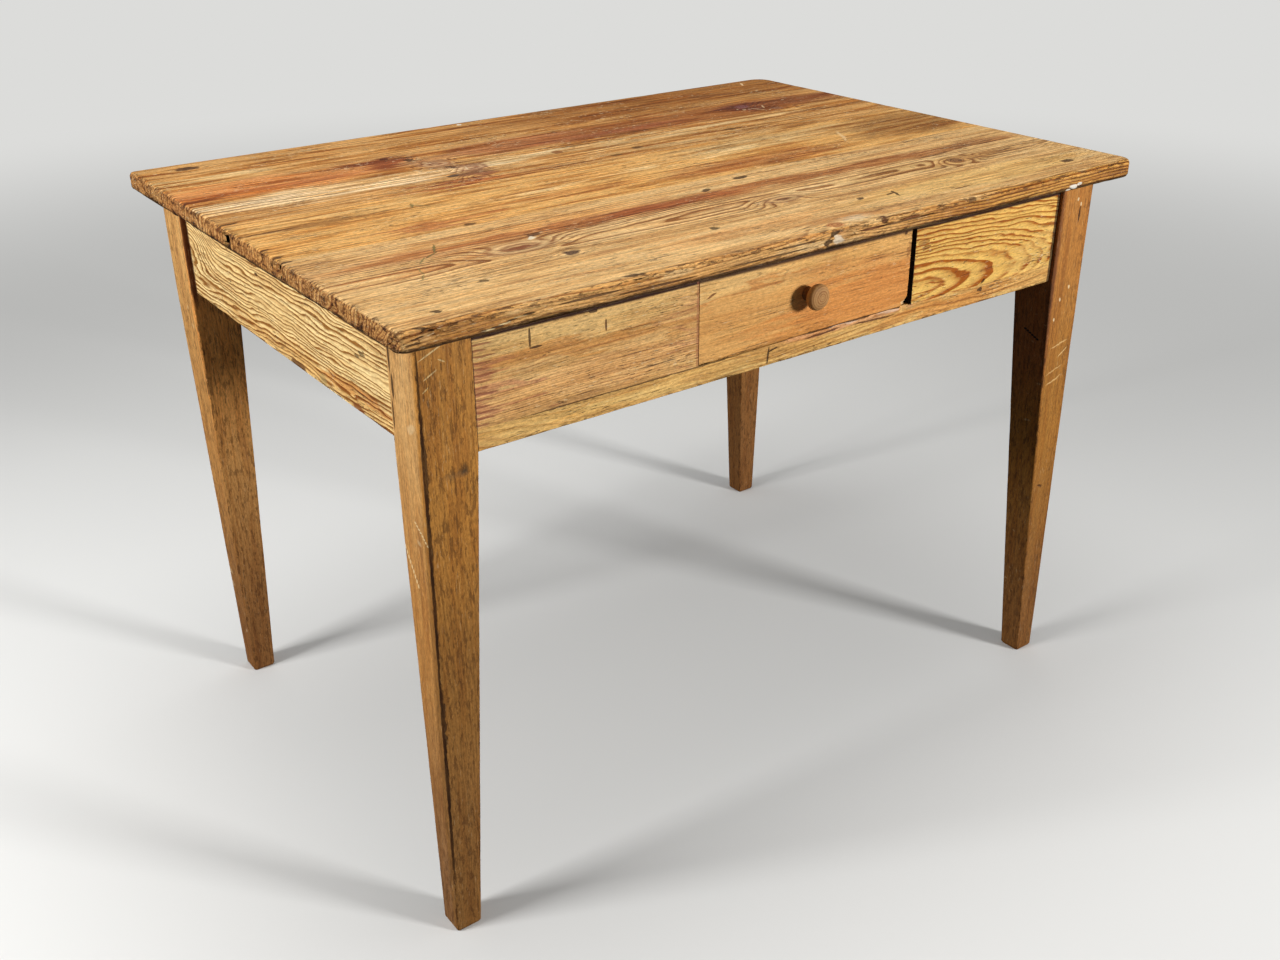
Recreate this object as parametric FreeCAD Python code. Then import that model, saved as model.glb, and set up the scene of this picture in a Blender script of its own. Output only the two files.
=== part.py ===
"""Old pine tavern table: a three-board top on four tapered legs, with one drawer in its front.

Frame: X along the length, with +X to the right of someone facing the drawer, Y towards the back, Z up.
The origin is on the floor under the middle of the top. All sizes are in millimetres.
"""
import FreeCAD, Part
import math
import os
from FreeCAD import Vector

# ---- driving dimensions --------------------------------------------------------------------------
# The top: three boards, tongued and grooved along the table's length.
TABLE_HEIGHT = 760.0
TOP_LENGTH = 1080.0
TOP_WIDTH = 750.0
TOP_THICKNESS = 22.0
BACK_SEAM_Y = 45.0
FRONT_SEAM_Y = -112.0
TONGUE_THICKNESS = 7.0
TONGUE_LENGTH = 7.0
TONGUE_END_GAP = 0.5
TOP_ROUND = 5.0
UNDER_ROUND = 4.0
CORNER_RADII = {
    ("left", "front"): 12.0,
    ("right", "front"): 22.0,
    ("right", "back"): 28.0,
    ("left", "back"): 8.0,
}

# How far the top stands past the legs.
OVERHANG_LEFT = 30.0
OVERHANG_RIGHT = 42.0
OVERHANG_FRONT = 30.0
OVERHANG_BACK = 24.0

# The legs: square to just under the aprons, then tapered on the two inner faces.
LEG_SIZE = 62.0
FOOT_SIZE = 32.0
LEG_ROUND = 2.5
FOOT_EASE = 1.5
FOOT_EASE_HEIGHT = 3.0
# The legs were planed by hand, so each foot stands a little off the line of its leg's outer faces.
FOOT_LEAN = {
    ("left", "front"): (-5.0, 6.0),
    ("right", "front"): (6.0, -3.0),
    ("left", "back"): (10.0, -6.0),
    ("right", "back"): (10.0, 4.0),
}

# The aprons, set back from the legs' outer faces.
APRON_DEPTH = 127.0
APRON_THICKNESS = 22.0
SIDE_SETBACK = 7.0
BACK_SETBACK = 7.0
FRONT_SETBACK = 5.0
BOARD_EASE = 1.0

# The built-up front: a low rail laid flat, with a fixed panel on each side of the drawer.
FRONT_DEPTH = 134.0
RAIL_HEIGHT = 24.0
RAIL_WIDTH = 45.0
PANEL_THICKNESS = 22.0

# Mortise and tenon joints.
TENON_THICKNESS = 8.0
TENON_LENGTH = 33.0
TENON_SHOULDER = 12.0
HAUNCH_HEIGHT = 18.0
HAUNCH_LENGTH = 10.0
PANEL_TENON_LENGTH = 20.0
RAIL_TENON_LENGTH = 25.0
RAIL_TENON_WIDTH = 28.0
CHEEK_GAP = 0.05
MORTISE_END_GAP = 1.0

# The drawer and the space that it runs in.
DRAWER_WIDTH = 326.0
DRAWER_LENGTH = 560.0
DRAWER_SIDE_GAP = 1.0
DRAWER_SHRINKAGE = 7.0
DRAWER_TOP_GAP = 1.0
DRAWER_BOTTOM_GAP = 1.0
DRAWER_FRONT_THICKNESS = 20.0
DRAWER_SIDE_THICKNESS = 12.0
DRAWER_SIDE_DROP = 5.0
DRAWER_BACK_THICKNESS = 12.0
DRAWER_BACK_DROP = 10.0
BOTTOM_RAISE = 9.0
BOTTOM_THICKNESS = 8.0
BOTTOM_EDGE_THICKNESS = 5.0
BOTTOM_BEVEL_WIDTH = 30.0
GROOVE_DEPTH = 6.0
GROOVE_GAP = 0.2

# The dovetails at the drawer's corners.
TAIL_COUNT = 3
TAIL_SHARE = 0.64
TAIL_SLOPE = 1.0 / 6.0
DOVETAIL_LAP = 6.0

# What the drawer runs on, between and against.
RUNNER_THICKNESS = 16.0
RUNNER_WIDTH = 40.0
RUNNER_TENON_LENGTH = 8.0
GUIDE_WIDTH = 20.0
GUIDE_HEIGHT = 30.0
STOP_LENGTH = 30.0
STOP_WIDTH = 15.0
STOP_HEIGHT = 6.0
STOP_INSET = 45.0

# The turned knob. The profile is radius and distance out from the drawer front, at the ends of the
# tapers that the chisel left: the foot, the neck, the cap's underside, its widest part and its brow.
KNOB_OFFSET_X = -5.0
KNOB_DROP = 4.0
KNOB_PROFILE = [
    (8.5, 0.0),
    (7.0, 2.5),
    (6.8, 6.5),
    (8.6, 10.5),
    (13.4, 12.8),
    (15.4, 16.0),
    (15.4, 19.0),
    (13.6, 22.0),
]
KNOB_LENGTH = 24.0
KNOB_TENON_RADIUS = 6.0
KNOB_HOLE_GAP = 0.1

# The rubbed glue blocks under the top.
BLOCK_SIZE = 22.0
BLOCK_LENGTH = 60.0
BLOCK_CLIP = 5.0

# ---- places that follow from them ----------------------------------------------------------------
UNDERSIDE = TABLE_HEIGHT - TOP_THICKNESS
LEFT = -TOP_LENGTH / 2 + OVERHANG_LEFT
RIGHT = TOP_LENGTH / 2 - OVERHANG_RIGHT
FRONT = -TOP_WIDTH / 2 + OVERHANG_FRONT
BACK = TOP_WIDTH / 2 - OVERHANG_BACK
INNER_LEFT = LEFT + LEG_SIZE
INNER_RIGHT = RIGHT - LEG_SIZE
INNER_FRONT = FRONT + LEG_SIZE
INNER_BACK = BACK - LEG_SIZE

APRON_BOTTOM = UNDERSIDE - APRON_DEPTH
FRONT_FACE = FRONT + FRONT_SETBACK
FRONT_BOTTOM = UNDERSIDE - FRONT_DEPTH
RAIL_TOP = FRONT_BOTTOM + RAIL_HEIGHT
RAIL_BACK = FRONT_FACE + RAIL_WIDTH
PANEL_BACK = FRONT_FACE + PANEL_THICKNESS
LEFT_APRON_FACE = LEFT + SIDE_SETBACK
RIGHT_APRON_FACE = RIGHT - SIDE_SETBACK
BACK_APRON_FACE = BACK - BACK_SETBACK
LEFT_APRON_INSIDE = LEFT_APRON_FACE + APRON_THICKNESS
RIGHT_APRON_INSIDE = RIGHT_APRON_FACE - APRON_THICKNESS
BACK_APRON_INSIDE = BACK_APRON_FACE - APRON_THICKNESS

OPENING_WIDTH = DRAWER_WIDTH + DRAWER_SIDE_GAP + DRAWER_SHRINKAGE
OPENING_LEFT = -OPENING_WIDTH / 2
OPENING_RIGHT = OPENING_WIDTH / 2
DRAWER_LEFT = OPENING_LEFT + DRAWER_SIDE_GAP
DRAWER_RIGHT = DRAWER_LEFT + DRAWER_WIDTH
DRAWER_BOTTOM = RAIL_TOP + DRAWER_BOTTOM_GAP
DRAWER_TOP = UNDERSIDE - DRAWER_TOP_GAP
DRAWER_FRONT_BACK = FRONT_FACE + DRAWER_FRONT_THICKNESS
DRAWER_END = FRONT_FACE + DRAWER_LENGTH
DRAWER_BACK_FACE = DRAWER_END - DRAWER_BACK_THICKNESS
SIDE_TOP = DRAWER_TOP - DRAWER_SIDE_DROP
BOTTOM_UNDERSIDE = RAIL_TOP + BOTTOM_RAISE
BOTTOM_TOP = BOTTOM_UNDERSIDE + BOTTOM_THICKNESS
GROOVE_BOTTOM = BOTTOM_TOP - BOTTOM_EDGE_THICKNESS
DRAWER_BACK_TOP = SIDE_TOP - DRAWER_BACK_DROP

CORNERS = [(side, end) for end in ("front", "back") for side in ("left", "right")]


# ---- small helpers -------------------------------------------------------------------------------
def box(x, y, z):
    """A block between the two bounds given for each axis."""
    return Part.makeBox(x[1] - x[0], y[1] - y[0], z[1] - z[0], Vector(x[0], y[0], z[0]))


def prism(points, length):
    """A flat outline, pushed along one vector."""
    return Part.Face(Part.makePolygon(points + points[:1])).extrude(length)


def rounded_outline(x, y, z, radii):
    """A level rectangle with a round at each corner; radii by (side, end)."""
    corners = [
        (Vector(x[0], y[0], z), Vector(1, 0, 0), Vector(0, 1, 0), radii["left", "front"]),
        (Vector(x[1], y[0], z), Vector(0, 1, 0), Vector(-1, 0, 0), radii["right", "front"]),
        (Vector(x[1], y[1], z), Vector(-1, 0, 0), Vector(0, -1, 0), radii["right", "back"]),
        (Vector(x[0], y[1], z), Vector(0, -1, 0), Vector(1, 0, 0), radii["left", "back"]),
    ]
    edges = []
    starts = []
    for corner, onward, inward, radius in corners:
        centre = corner + (onward + inward) * radius
        middle = centre - (onward + inward).normalize() * radius
        edges.append(Part.Arc(corner + inward * radius, middle, corner + onward * radius).toShape())
        starts.append((corner + inward * radius, corner + onward * radius))
    outline = []
    for here, arc in enumerate(edges):
        following = (here + 1) % len(edges)
        outline += [arc, Part.makeLine(starts[here][1], starts[following][0])]
    return Part.Wire(outline)


def spread(low, high, count):
    """Middles of count equal stretches from low to high."""
    pitch = (high - low) / count
    return [low + pitch * (number + 0.5) for number in range(count)]


def eased(board, along, faces):
    """Break the long lower arrises of a board: those that run along one axis and lie on the given faces."""
    chosen = []
    for edge in board.Edges:
        ends = [vertex.Point for vertex in edge.Vertexes]
        if len(ends) < 2 or abs((ends[1] - ends[0]).normalize().dot(along)) < 0.999:
            continue
        if all(abs(ends[0].dot(normal) - place) < 0.01 for normal, place in faces):
            chosen.append(edge)
    return board.makeChamfer(BOARD_EASE, chosen) if chosen else board


X, Y, Z = Vector(1, 0, 0), Vector(0, 1, 0), Vector(0, 0, 1)
pieces = {}
leg_mortises = []


def tenon(x, y, z, into, mortises):
    """A tenon with the given bounds; its mortise is a little wider, and deeper the way it goes in."""
    bounds = [list(x), list(y), list(z)]
    axis = "xyz".index(into[1])
    for number in range(3):
        if number != axis:
            bounds[number][0] -= CHEEK_GAP
            bounds[number][1] += CHEEK_GAP
    if into[0] == "+":
        bounds[axis][1] += MORTISE_END_GAP
    else:
        bounds[axis][0] -= MORTISE_END_GAP
    mortises.append(box(*bounds))
    return box(x, y, z)


# ---- side and back aprons: boards on edge, haunched tenons into the legs -------------------------
TENON_LOW = APRON_BOTTOM + TENON_SHOULDER
TENON_HIGH = UNDERSIDE - HAUNCH_HEIGHT


def tenon_band(face, inside):
    """The tenon's bounds across a board's thickness."""
    middle = (face + inside) / 2
    return (middle - TENON_THICKNESS / 2, middle + TENON_THICKNESS / 2)


def side_apron(face, inside):
    """An apron that runs from the front leg to the back leg."""
    low, high = min(face, inside), max(face, inside)
    board = box((low, high), (INNER_FRONT, INNER_BACK), (APRON_BOTTOM, UNDERSIDE))
    board = eased(board, Y, [(X, face), (Z, APRON_BOTTOM)])
    band = tenon_band(face, inside)
    haunch = (TENON_HIGH, UNDERSIDE)
    main = (TENON_LOW, TENON_HIGH)
    tenons = [
        tenon(band, (INNER_FRONT - TENON_LENGTH, INNER_FRONT), main, "-y", leg_mortises),
        tenon(band, (INNER_FRONT - HAUNCH_LENGTH, INNER_FRONT), haunch, "-y", leg_mortises),
        tenon(band, (INNER_BACK, INNER_BACK + TENON_LENGTH), main, "+y", leg_mortises),
        tenon(band, (INNER_BACK, INNER_BACK + HAUNCH_LENGTH), haunch, "+y", leg_mortises),
    ]
    return board.fuse(tenons).removeSplitter()


def back_apron(mortises):
    """The apron between the back legs, with a mortise for the end of each drawer runner."""
    board = box((INNER_LEFT, INNER_RIGHT), (BACK_APRON_INSIDE, BACK_APRON_FACE), (APRON_BOTTOM, UNDERSIDE))
    board = eased(board, X, [(Y, BACK_APRON_FACE), (Z, APRON_BOTTOM)])
    band = tenon_band(BACK_APRON_FACE, BACK_APRON_INSIDE)
    haunch = (TENON_HIGH, UNDERSIDE)
    main = (TENON_LOW, TENON_HIGH)
    tenons = [
        tenon((INNER_LEFT - TENON_LENGTH, INNER_LEFT), band, main, "-x", leg_mortises),
        tenon((INNER_LEFT - HAUNCH_LENGTH, INNER_LEFT), band, haunch, "-x", leg_mortises),
        tenon((INNER_RIGHT, INNER_RIGHT + TENON_LENGTH), band, main, "+x", leg_mortises),
        tenon((INNER_RIGHT, INNER_RIGHT + HAUNCH_LENGTH), band, haunch, "+x", leg_mortises),
    ]
    return board.fuse(tenons).removeSplitter().cut(mortises)


# ---- drawer runners, guides and stops ------------------------------------------------------------
RUNNER_BOTTOM = RAIL_TOP - RUNNER_THICKNESS
RUNNER_TENON = (RAIL_TOP - RUNNER_THICKNESS / 2 - TENON_THICKNESS / 2,
                RAIL_TOP - RUNNER_THICKNESS / 2 + TENON_THICKNESS / 2)
# Each guide's inner face stands one running gap off its drawer side.
GUIDE_FACES = {"left": DRAWER_LEFT - DRAWER_SIDE_GAP, "right": DRAWER_RIGHT + DRAWER_SIDE_GAP}
OUTWARD = {"left": -1, "right": 1}
rail_mortises = []
apron_mortises = []


def span(face, side, width):
    """Bounds of a strip that starts at a face and goes outward on its side."""
    return tuple(sorted((face, face + OUTWARD[side] * width)))


for side, face in GUIDE_FACES.items():
    guide = span(face, side, GUIDE_WIDTH)
    outer = face + OUTWARD[side] * GUIDE_WIDTH
    runner = span(outer, side, -RUNNER_WIDTH)
    body = box(runner, (RAIL_BACK, BACK_APRON_INSIDE), (RUNNER_BOTTOM, RAIL_TOP))
    inset = (runner[0] + TENON_SHOULDER / 2, runner[1] - TENON_SHOULDER / 2)
    front_end = (RAIL_BACK - RUNNER_TENON_LENGTH, RAIL_BACK)
    back_end = (BACK_APRON_INSIDE, BACK_APRON_INSIDE + RUNNER_TENON_LENGTH)
    ends = [
        tenon(inset, front_end, RUNNER_TENON, "-y", rail_mortises),
        tenon(inset, back_end, RUNNER_TENON, "+y", apron_mortises),
    ]
    pieces["drawer_runner_" + side] = body.fuse(ends).removeSplitter()
    strip = box(guide, (PANEL_BACK, BACK_APRON_INSIDE), (RAIL_TOP, RAIL_TOP + GUIDE_HEIGHT))
    pieces["drawer_guide_" + side] = eased(strip, Y, [(X, face), (Z, RAIL_TOP + GUIDE_HEIGHT)])

stops = []
for middle in (DRAWER_LEFT + STOP_INSET, DRAWER_RIGHT - STOP_INSET):
    along = (middle - STOP_LENGTH / 2, middle + STOP_LENGTH / 2)
    deep = (DRAWER_FRONT_BACK, DRAWER_FRONT_BACK + STOP_WIDTH)
    stops.append(box(along, deep, (RAIL_TOP, RAIL_TOP + STOP_HEIGHT)))
pieces["drawer_stops"] = Part.makeCompound(stops)

pieces["apron_left"] = side_apron(LEFT_APRON_FACE, LEFT_APRON_INSIDE)
pieces["apron_right"] = side_apron(RIGHT_APRON_FACE, RIGHT_APRON_INSIDE)
pieces["apron_back"] = back_apron(apron_mortises)


# ---- the built-up front --------------------------------------------------------------------------
def front_rail():
    """The low rail under the drawer and panels, laid flat and stub-tenoned into the front legs."""
    rail = box((INNER_LEFT, INNER_RIGHT), (FRONT_FACE, RAIL_BACK), (FRONT_BOTTOM, RAIL_TOP))
    rail = eased(rail, X, [(Y, FRONT_FACE), (Z, FRONT_BOTTOM)])
    middle_y = (FRONT_FACE + RAIL_BACK) / 2
    middle_z = (FRONT_BOTTOM + RAIL_TOP) / 2
    wide = (middle_y - RAIL_TENON_WIDTH / 2, middle_y + RAIL_TENON_WIDTH / 2)
    thick = (middle_z - TENON_THICKNESS / 2, middle_z + TENON_THICKNESS / 2)
    tenons = [
        tenon((INNER_LEFT - RAIL_TENON_LENGTH, INNER_LEFT), wide, thick, "-x", leg_mortises),
        tenon((INNER_RIGHT, INNER_RIGHT + RAIL_TENON_LENGTH), wide, thick, "+x", leg_mortises),
    ]
    return rail.fuse(tenons).removeSplitter().cut(rail_mortises)


def front_panel(x, shoulder, side):
    """A fixed panel on the rail, stub-tenoned into its leg at the shoulder."""
    panel = box(x, (FRONT_FACE, PANEL_BACK), (RAIL_TOP, UNDERSIDE))
    stub = span(shoulder, side, PANEL_TENON_LENGTH)
    high = (RAIL_TOP + TENON_SHOULDER, TENON_HIGH)
    way = "-x" if side == "left" else "+x"
    band = tenon_band(FRONT_FACE, PANEL_BACK)
    return panel.fuse(tenon(stub, band, high, way, leg_mortises)).removeSplitter()


pieces["front_rail"] = front_rail()
pieces["front_panel_left"] = front_panel((INNER_LEFT, OPENING_LEFT), INNER_LEFT, "left")
pieces["front_panel_right"] = front_panel((OPENING_RIGHT, INNER_RIGHT), INNER_RIGHT, "right")


# ---- legs ----------------------------------------------------------------------------------------
def leg_section(side, end, z, inset=0.0):
    """The leg's outline at a height: its outer faces lean to the foot, and its inner faces taper."""
    down = max(0.0, (FRONT_BOTTOM - z) / FRONT_BOTTOM)
    size = LEG_SIZE + (FOOT_SIZE - LEG_SIZE) * down
    lean_x, lean_y = FOOT_LEAN[side, end]
    outer_x = (LEFT if side == "left" else RIGHT) + lean_x * down
    outer_y = (FRONT if end == "front" else BACK) + lean_y * down
    x = sorted((outer_x, outer_x + (size if side == "left" else -size)))
    y = sorted((outer_y, outer_y + (size if end == "front" else -size)))
    radii = {corner: LEG_ROUND for corner in CORNERS}
    return rounded_outline((x[0] + inset, x[1] - inset), (y[0] + inset, y[1] - inset), z, radii)


for side, end in CORNERS:
    sections = [
        leg_section(side, end, 0.0, FOOT_EASE),
        leg_section(side, end, FOOT_EASE_HEIGHT),
        leg_section(side, end, FRONT_BOTTOM),
        leg_section(side, end, UNDERSIDE),
    ]
    blank = Part.makeLoft(sections, True, True)
    cuts = [hole for hole in leg_mortises if hole.BoundBox.intersect(blank.BoundBox)]
    pieces["leg_" + end + "_" + side] = blank.cut(cuts)


# ---- glue blocks: three-cornered lengths rubbed into the angle under the top ---------------------
def glue_block(corner, inward, along):
    """One block in the angle between a board's inside face and the top; the corner is its middle."""
    down = Z * -1
    start = corner - along * (BLOCK_LENGTH / 2)
    points = [
        start,
        start + inward * BLOCK_SIZE,
        start + inward * BLOCK_SIZE + down * BLOCK_CLIP,
        start + inward * BLOCK_CLIP + down * BLOCK_SIZE,
        start + down * BLOCK_SIZE,
    ]
    return prism(points, along * BLOCK_LENGTH)


blocks = []
for y in spread(INNER_FRONT, INNER_BACK, 2):
    blocks.append(glue_block(Vector(LEFT_APRON_INSIDE, y, UNDERSIDE), X, Y))
    blocks.append(glue_block(Vector(RIGHT_APRON_INSIDE, y, UNDERSIDE), X * -1, Y))
for x in spread(INNER_LEFT, INNER_RIGHT, 3):
    blocks.append(glue_block(Vector(x, BACK_APRON_INSIDE, UNDERSIDE), Y * -1, X))
for low, high in ((INNER_LEFT, OPENING_LEFT), (OPENING_RIGHT, INNER_RIGHT)):
    blocks.append(glue_block(Vector((low + high) / 2, PANEL_BACK, UNDERSIDE), Y, X))
pieces["glue_blocks"] = Part.makeCompound(blocks)


# ---- the top: one rounded slab's outline, divided into three boards ------------------------------
def top_boards():
    """Back, middle and front boards; each forward edge has a tongue that the next board's groove takes."""
    x = (-TOP_LENGTH / 2, TOP_LENGTH / 2)
    y = (-TOP_WIDTH / 2, TOP_WIDTH / 2)
    slab = Part.Face(rounded_outline(x, y, UNDERSIDE, CORNER_RADII)).extrude(Z * TOP_THICKNESS)
    for height, radius in ((TABLE_HEIGHT, TOP_ROUND), (UNDERSIDE, UNDER_ROUND)):
        rim = [edge for edge in slab.Edges if all(abs(v.Z - height) < 0.01 for v in edge.Vertexes)]
        slab = slab.makeFillet(radius, rim)
    middle = UNDERSIDE + TOP_THICKNESS / 2
    tongue = (middle - TONGUE_THICKNESS / 2, middle + TONGUE_THICKNESS / 2)
    full = (UNDERSIDE, TABLE_HEIGHT)
    limits = [y[1], BACK_SEAM_Y, FRONT_SEAM_Y, y[0]]
    boards = []
    for number in range(3):
        board = slab.common(box(x, (limits[number + 1], limits[number]), full))
        if number > 0:
            groove = (limits[number] - TONGUE_LENGTH - TONGUE_END_GAP, limits[number])
            board = board.cut(box(x, groove, tongue))
        if number < 2:
            reach = (limits[number + 1] - TONGUE_LENGTH, limits[number + 1])
            board = board.fuse(slab.common(box(x, reach, tongue))).removeSplitter()
        boards.append(board)
    return boards


for name, board in zip(("back", "middle", "front"), top_boards()):
    pieces["top_board_" + name] = board


# ---- drawer: dovetailed box with a bevelled bottom in grooves ------------------------------------
def tails(x, shoulder, tip, z):
    """Dovetails on the end of a side: they widen from the shoulder to the tip."""
    pitch = (z[1] - z[0]) / TAIL_COUNT
    wide = pitch * TAIL_SHARE / 2
    narrow = wide - abs(tip - shoulder) * TAIL_SLOPE
    shapes = []
    for middle in spread(z[0], z[1], TAIL_COUNT):
        outline = [
            Vector(x[0], shoulder, middle - narrow),
            Vector(x[0], tip, middle - wide),
            Vector(x[0], tip, middle + wide),
            Vector(x[0], shoulder, middle + narrow),
        ]
        shapes.append(prism(outline, X * (x[1] - x[0])))
    return shapes


SIDE_BOUNDS = {
    "left": (DRAWER_LEFT, DRAWER_LEFT + DRAWER_SIDE_THICKNESS),
    "right": (DRAWER_RIGHT - DRAWER_SIDE_THICKNESS, DRAWER_RIGHT),
}
BOTTOM_LEFT = SIDE_BOUNDS["left"][1] - GROOVE_DEPTH
BOTTOM_RIGHT = SIDE_BOUNDS["right"][0] + GROOVE_DEPTH
BOTTOM_FRONT = DRAWER_FRONT_BACK - GROOVE_DEPTH
# One groove tool for both sides and the front: the bottom's edges, with a gap round and under them.
groove = box(
    (BOTTOM_LEFT - GROOVE_GAP, BOTTOM_RIGHT + GROOVE_GAP),
    (BOTTOM_FRONT - GROOVE_GAP, DRAWER_END),
    (GROOVE_BOTTOM - GROOVE_GAP, BOTTOM_TOP),
)
front_tails = []
back_tails = []
for side, x in SIDE_BOUNDS.items():
    plank = box(x, (DRAWER_FRONT_BACK, DRAWER_BACK_FACE), (RAIL_TOP, SIDE_TOP))
    lower_end = box(x, (DRAWER_BACK_FACE, DRAWER_END), (RAIL_TOP, BOTTOM_TOP))
    at_front = tails(x, DRAWER_FRONT_BACK, FRONT_FACE + DOVETAIL_LAP, (DRAWER_BOTTOM, SIDE_TOP))
    at_back = tails(x, DRAWER_BACK_FACE, DRAWER_END, (BOTTOM_TOP, DRAWER_BACK_TOP))
    front_tails += at_front
    back_tails += at_back
    plank = plank.fuse([lower_end] + at_front + at_back).removeSplitter()
    pieces["drawer_side_" + side] = plank.cut(groove)

KNOB_X = (DRAWER_LEFT + DRAWER_RIGHT) / 2 + KNOB_OFFSET_X
KNOB_Z = (DRAWER_BOTTOM + DRAWER_TOP) / 2 - KNOB_DROP
knob_hole = Part.makeCylinder(
    KNOB_TENON_RADIUS + KNOB_HOLE_GAP, DRAWER_FRONT_THICKNESS, Vector(KNOB_X, FRONT_FACE, KNOB_Z), Y)
board = box((DRAWER_LEFT, DRAWER_RIGHT), (FRONT_FACE, DRAWER_FRONT_BACK), (DRAWER_BOTTOM, DRAWER_TOP))
pieces["drawer_front"] = board.cut(front_tails + [groove, knob_hole])

board = box((DRAWER_LEFT, DRAWER_RIGHT), (DRAWER_BACK_FACE, DRAWER_END), (BOTTOM_TOP, DRAWER_BACK_TOP))
pieces["drawer_back"] = board.cut(back_tails)


def drawer_bottom():
    """The bottom slides into the grooves under the back; its underside is bevelled on three edges."""
    x = (BOTTOM_LEFT, BOTTOM_RIGHT)
    board = box(x, (BOTTOM_FRONT, DRAWER_END), (BOTTOM_UNDERSIDE, BOTTOM_TOP))
    rise = BOTTOM_THICKNESS - BOTTOM_EDGE_THICKNESS
    run = BOTTOM_BEVEL_WIDTH
    # Past the groove's mouth the edge keeps its thickness, so that it slides in flat.
    wedges = []
    for edge, inward in ((x[0], 1), (x[1], -1)):
        flat = edge + inward * GROOVE_DEPTH
        profile = [
            Vector(edge, BOTTOM_FRONT, BOTTOM_UNDERSIDE),
            Vector(edge, BOTTOM_FRONT, BOTTOM_UNDERSIDE + rise),
            Vector(flat, BOTTOM_FRONT, BOTTOM_UNDERSIDE + rise),
            Vector(flat + inward * run, BOTTOM_FRONT, BOTTOM_UNDERSIDE),
        ]
        wedges.append(prism(profile, Y * (DRAWER_END - BOTTOM_FRONT)))
    flat = BOTTOM_FRONT + GROOVE_DEPTH
    profile = [
        Vector(x[0], BOTTOM_FRONT, BOTTOM_UNDERSIDE),
        Vector(x[0], BOTTOM_FRONT, BOTTOM_UNDERSIDE + rise),
        Vector(x[0], flat, BOTTOM_UNDERSIDE + rise),
        Vector(x[0], flat + run, BOTTOM_UNDERSIDE),
    ]
    wedges.append(prism(profile, X * (x[1] - x[0])))
    return board.cut(wedges)


pieces["drawer_bottom"] = drawer_bottom()


# ---- knob: turned in one piece with the tenon that is glued through the drawer front -------------
def drawer_knob():
    """Its half profile, from the tenon's inner end out to the middle of the cap, turned about its axis."""
    def at(radius, out):
        return Vector(KNOB_X + radius, FRONT_FACE - out, KNOB_Z)

    points = [at(radius, out) for radius, out in KNOB_PROFILE]
    turned = [Part.makeLine(start, end) for start, end in zip(points, points[1:])]
    base_radius = KNOB_PROFILE[0][0]
    brow_radius, brow_out = KNOB_PROFILE[-1]
    # The cap's face is part of a ball whose middle is on the axis.
    rise = KNOB_LENGTH - brow_out
    ball = (brow_radius ** 2 + rise ** 2) / (2 * rise)
    halfway = brow_radius / 2
    crown = at(halfway, KNOB_LENGTH - ball + math.sqrt(ball ** 2 - halfway ** 2))
    profile = [
        Part.makeLine(at(0, -DRAWER_FRONT_THICKNESS), at(KNOB_TENON_RADIUS, -DRAWER_FRONT_THICKNESS)),
        Part.makeLine(at(KNOB_TENON_RADIUS, -DRAWER_FRONT_THICKNESS), at(KNOB_TENON_RADIUS, 0)),
        Part.makeLine(at(KNOB_TENON_RADIUS, 0), at(base_radius, 0)),
        *turned,
        Part.Arc(at(brow_radius, brow_out), crown, at(0, KNOB_LENGTH)).toShape(),
        Part.makeLine(at(0, KNOB_LENGTH), at(0, -DRAWER_FRONT_THICKNESS)),
    ]
    half = Part.Face(Part.Wire(profile))
    return half.revolve(Vector(KNOB_X, FRONT_FACE, KNOB_Z), Y, 360)


pieces["drawer_knob"] = drawer_knob()

# ---- write ---------------------------------------------------------------------------------------
os.makedirs("parts", exist_ok=True)
for name, shape in pieces.items():
    for solid in shape.Solids:
        assert solid.isValid(), name
    shape.exportStep("parts/" + name + ".step")
print(len(pieces), "nodes,", sum(len(shape.Solids) for shape in pieces.values()), "solids")
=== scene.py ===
import bpy
import math
from functools import partial
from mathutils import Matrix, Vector, noise


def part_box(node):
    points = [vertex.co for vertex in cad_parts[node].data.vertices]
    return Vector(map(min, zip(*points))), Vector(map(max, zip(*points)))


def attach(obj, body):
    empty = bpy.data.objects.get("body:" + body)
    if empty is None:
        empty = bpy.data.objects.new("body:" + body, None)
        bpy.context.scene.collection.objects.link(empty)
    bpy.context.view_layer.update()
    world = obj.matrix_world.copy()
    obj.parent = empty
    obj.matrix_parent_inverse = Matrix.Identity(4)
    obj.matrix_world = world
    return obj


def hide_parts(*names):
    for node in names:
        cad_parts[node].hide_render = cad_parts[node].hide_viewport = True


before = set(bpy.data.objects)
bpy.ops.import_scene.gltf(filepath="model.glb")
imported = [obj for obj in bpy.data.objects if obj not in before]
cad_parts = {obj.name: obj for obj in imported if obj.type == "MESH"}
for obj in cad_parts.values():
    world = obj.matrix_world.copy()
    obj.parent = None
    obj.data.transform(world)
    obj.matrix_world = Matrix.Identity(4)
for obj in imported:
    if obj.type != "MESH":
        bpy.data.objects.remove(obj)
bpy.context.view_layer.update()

# ---- Legs ----
# Four legs sawn from 62 mm pine, left square where the aprons are tenoned into them and tapered below
# with a plane. Generations of knees and brooms have rounded their arrises; painted shade darkens the
# feet.

MM = 0.001
LEG = 62        # mm, the square part
FOOT = 32       # mm, across the foot
KNEE = 604      # mm above the floor, where the taper starts
UNDER_TOP = 738     # mm above the floor, where the legs and aprons meet the top
LEG_OUTER = {"left": -510, "right": 498, "front": -345, "back": 351}
FOOT_LEAN = {       # mm that each foot stands out of line with its leg's outer corner
    ("left", "front"): (-5, 6), ("right", "front"): (6, -3),
    ("left", "back"): (10, -6), ("right", "back"): (10, 4),
}


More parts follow.
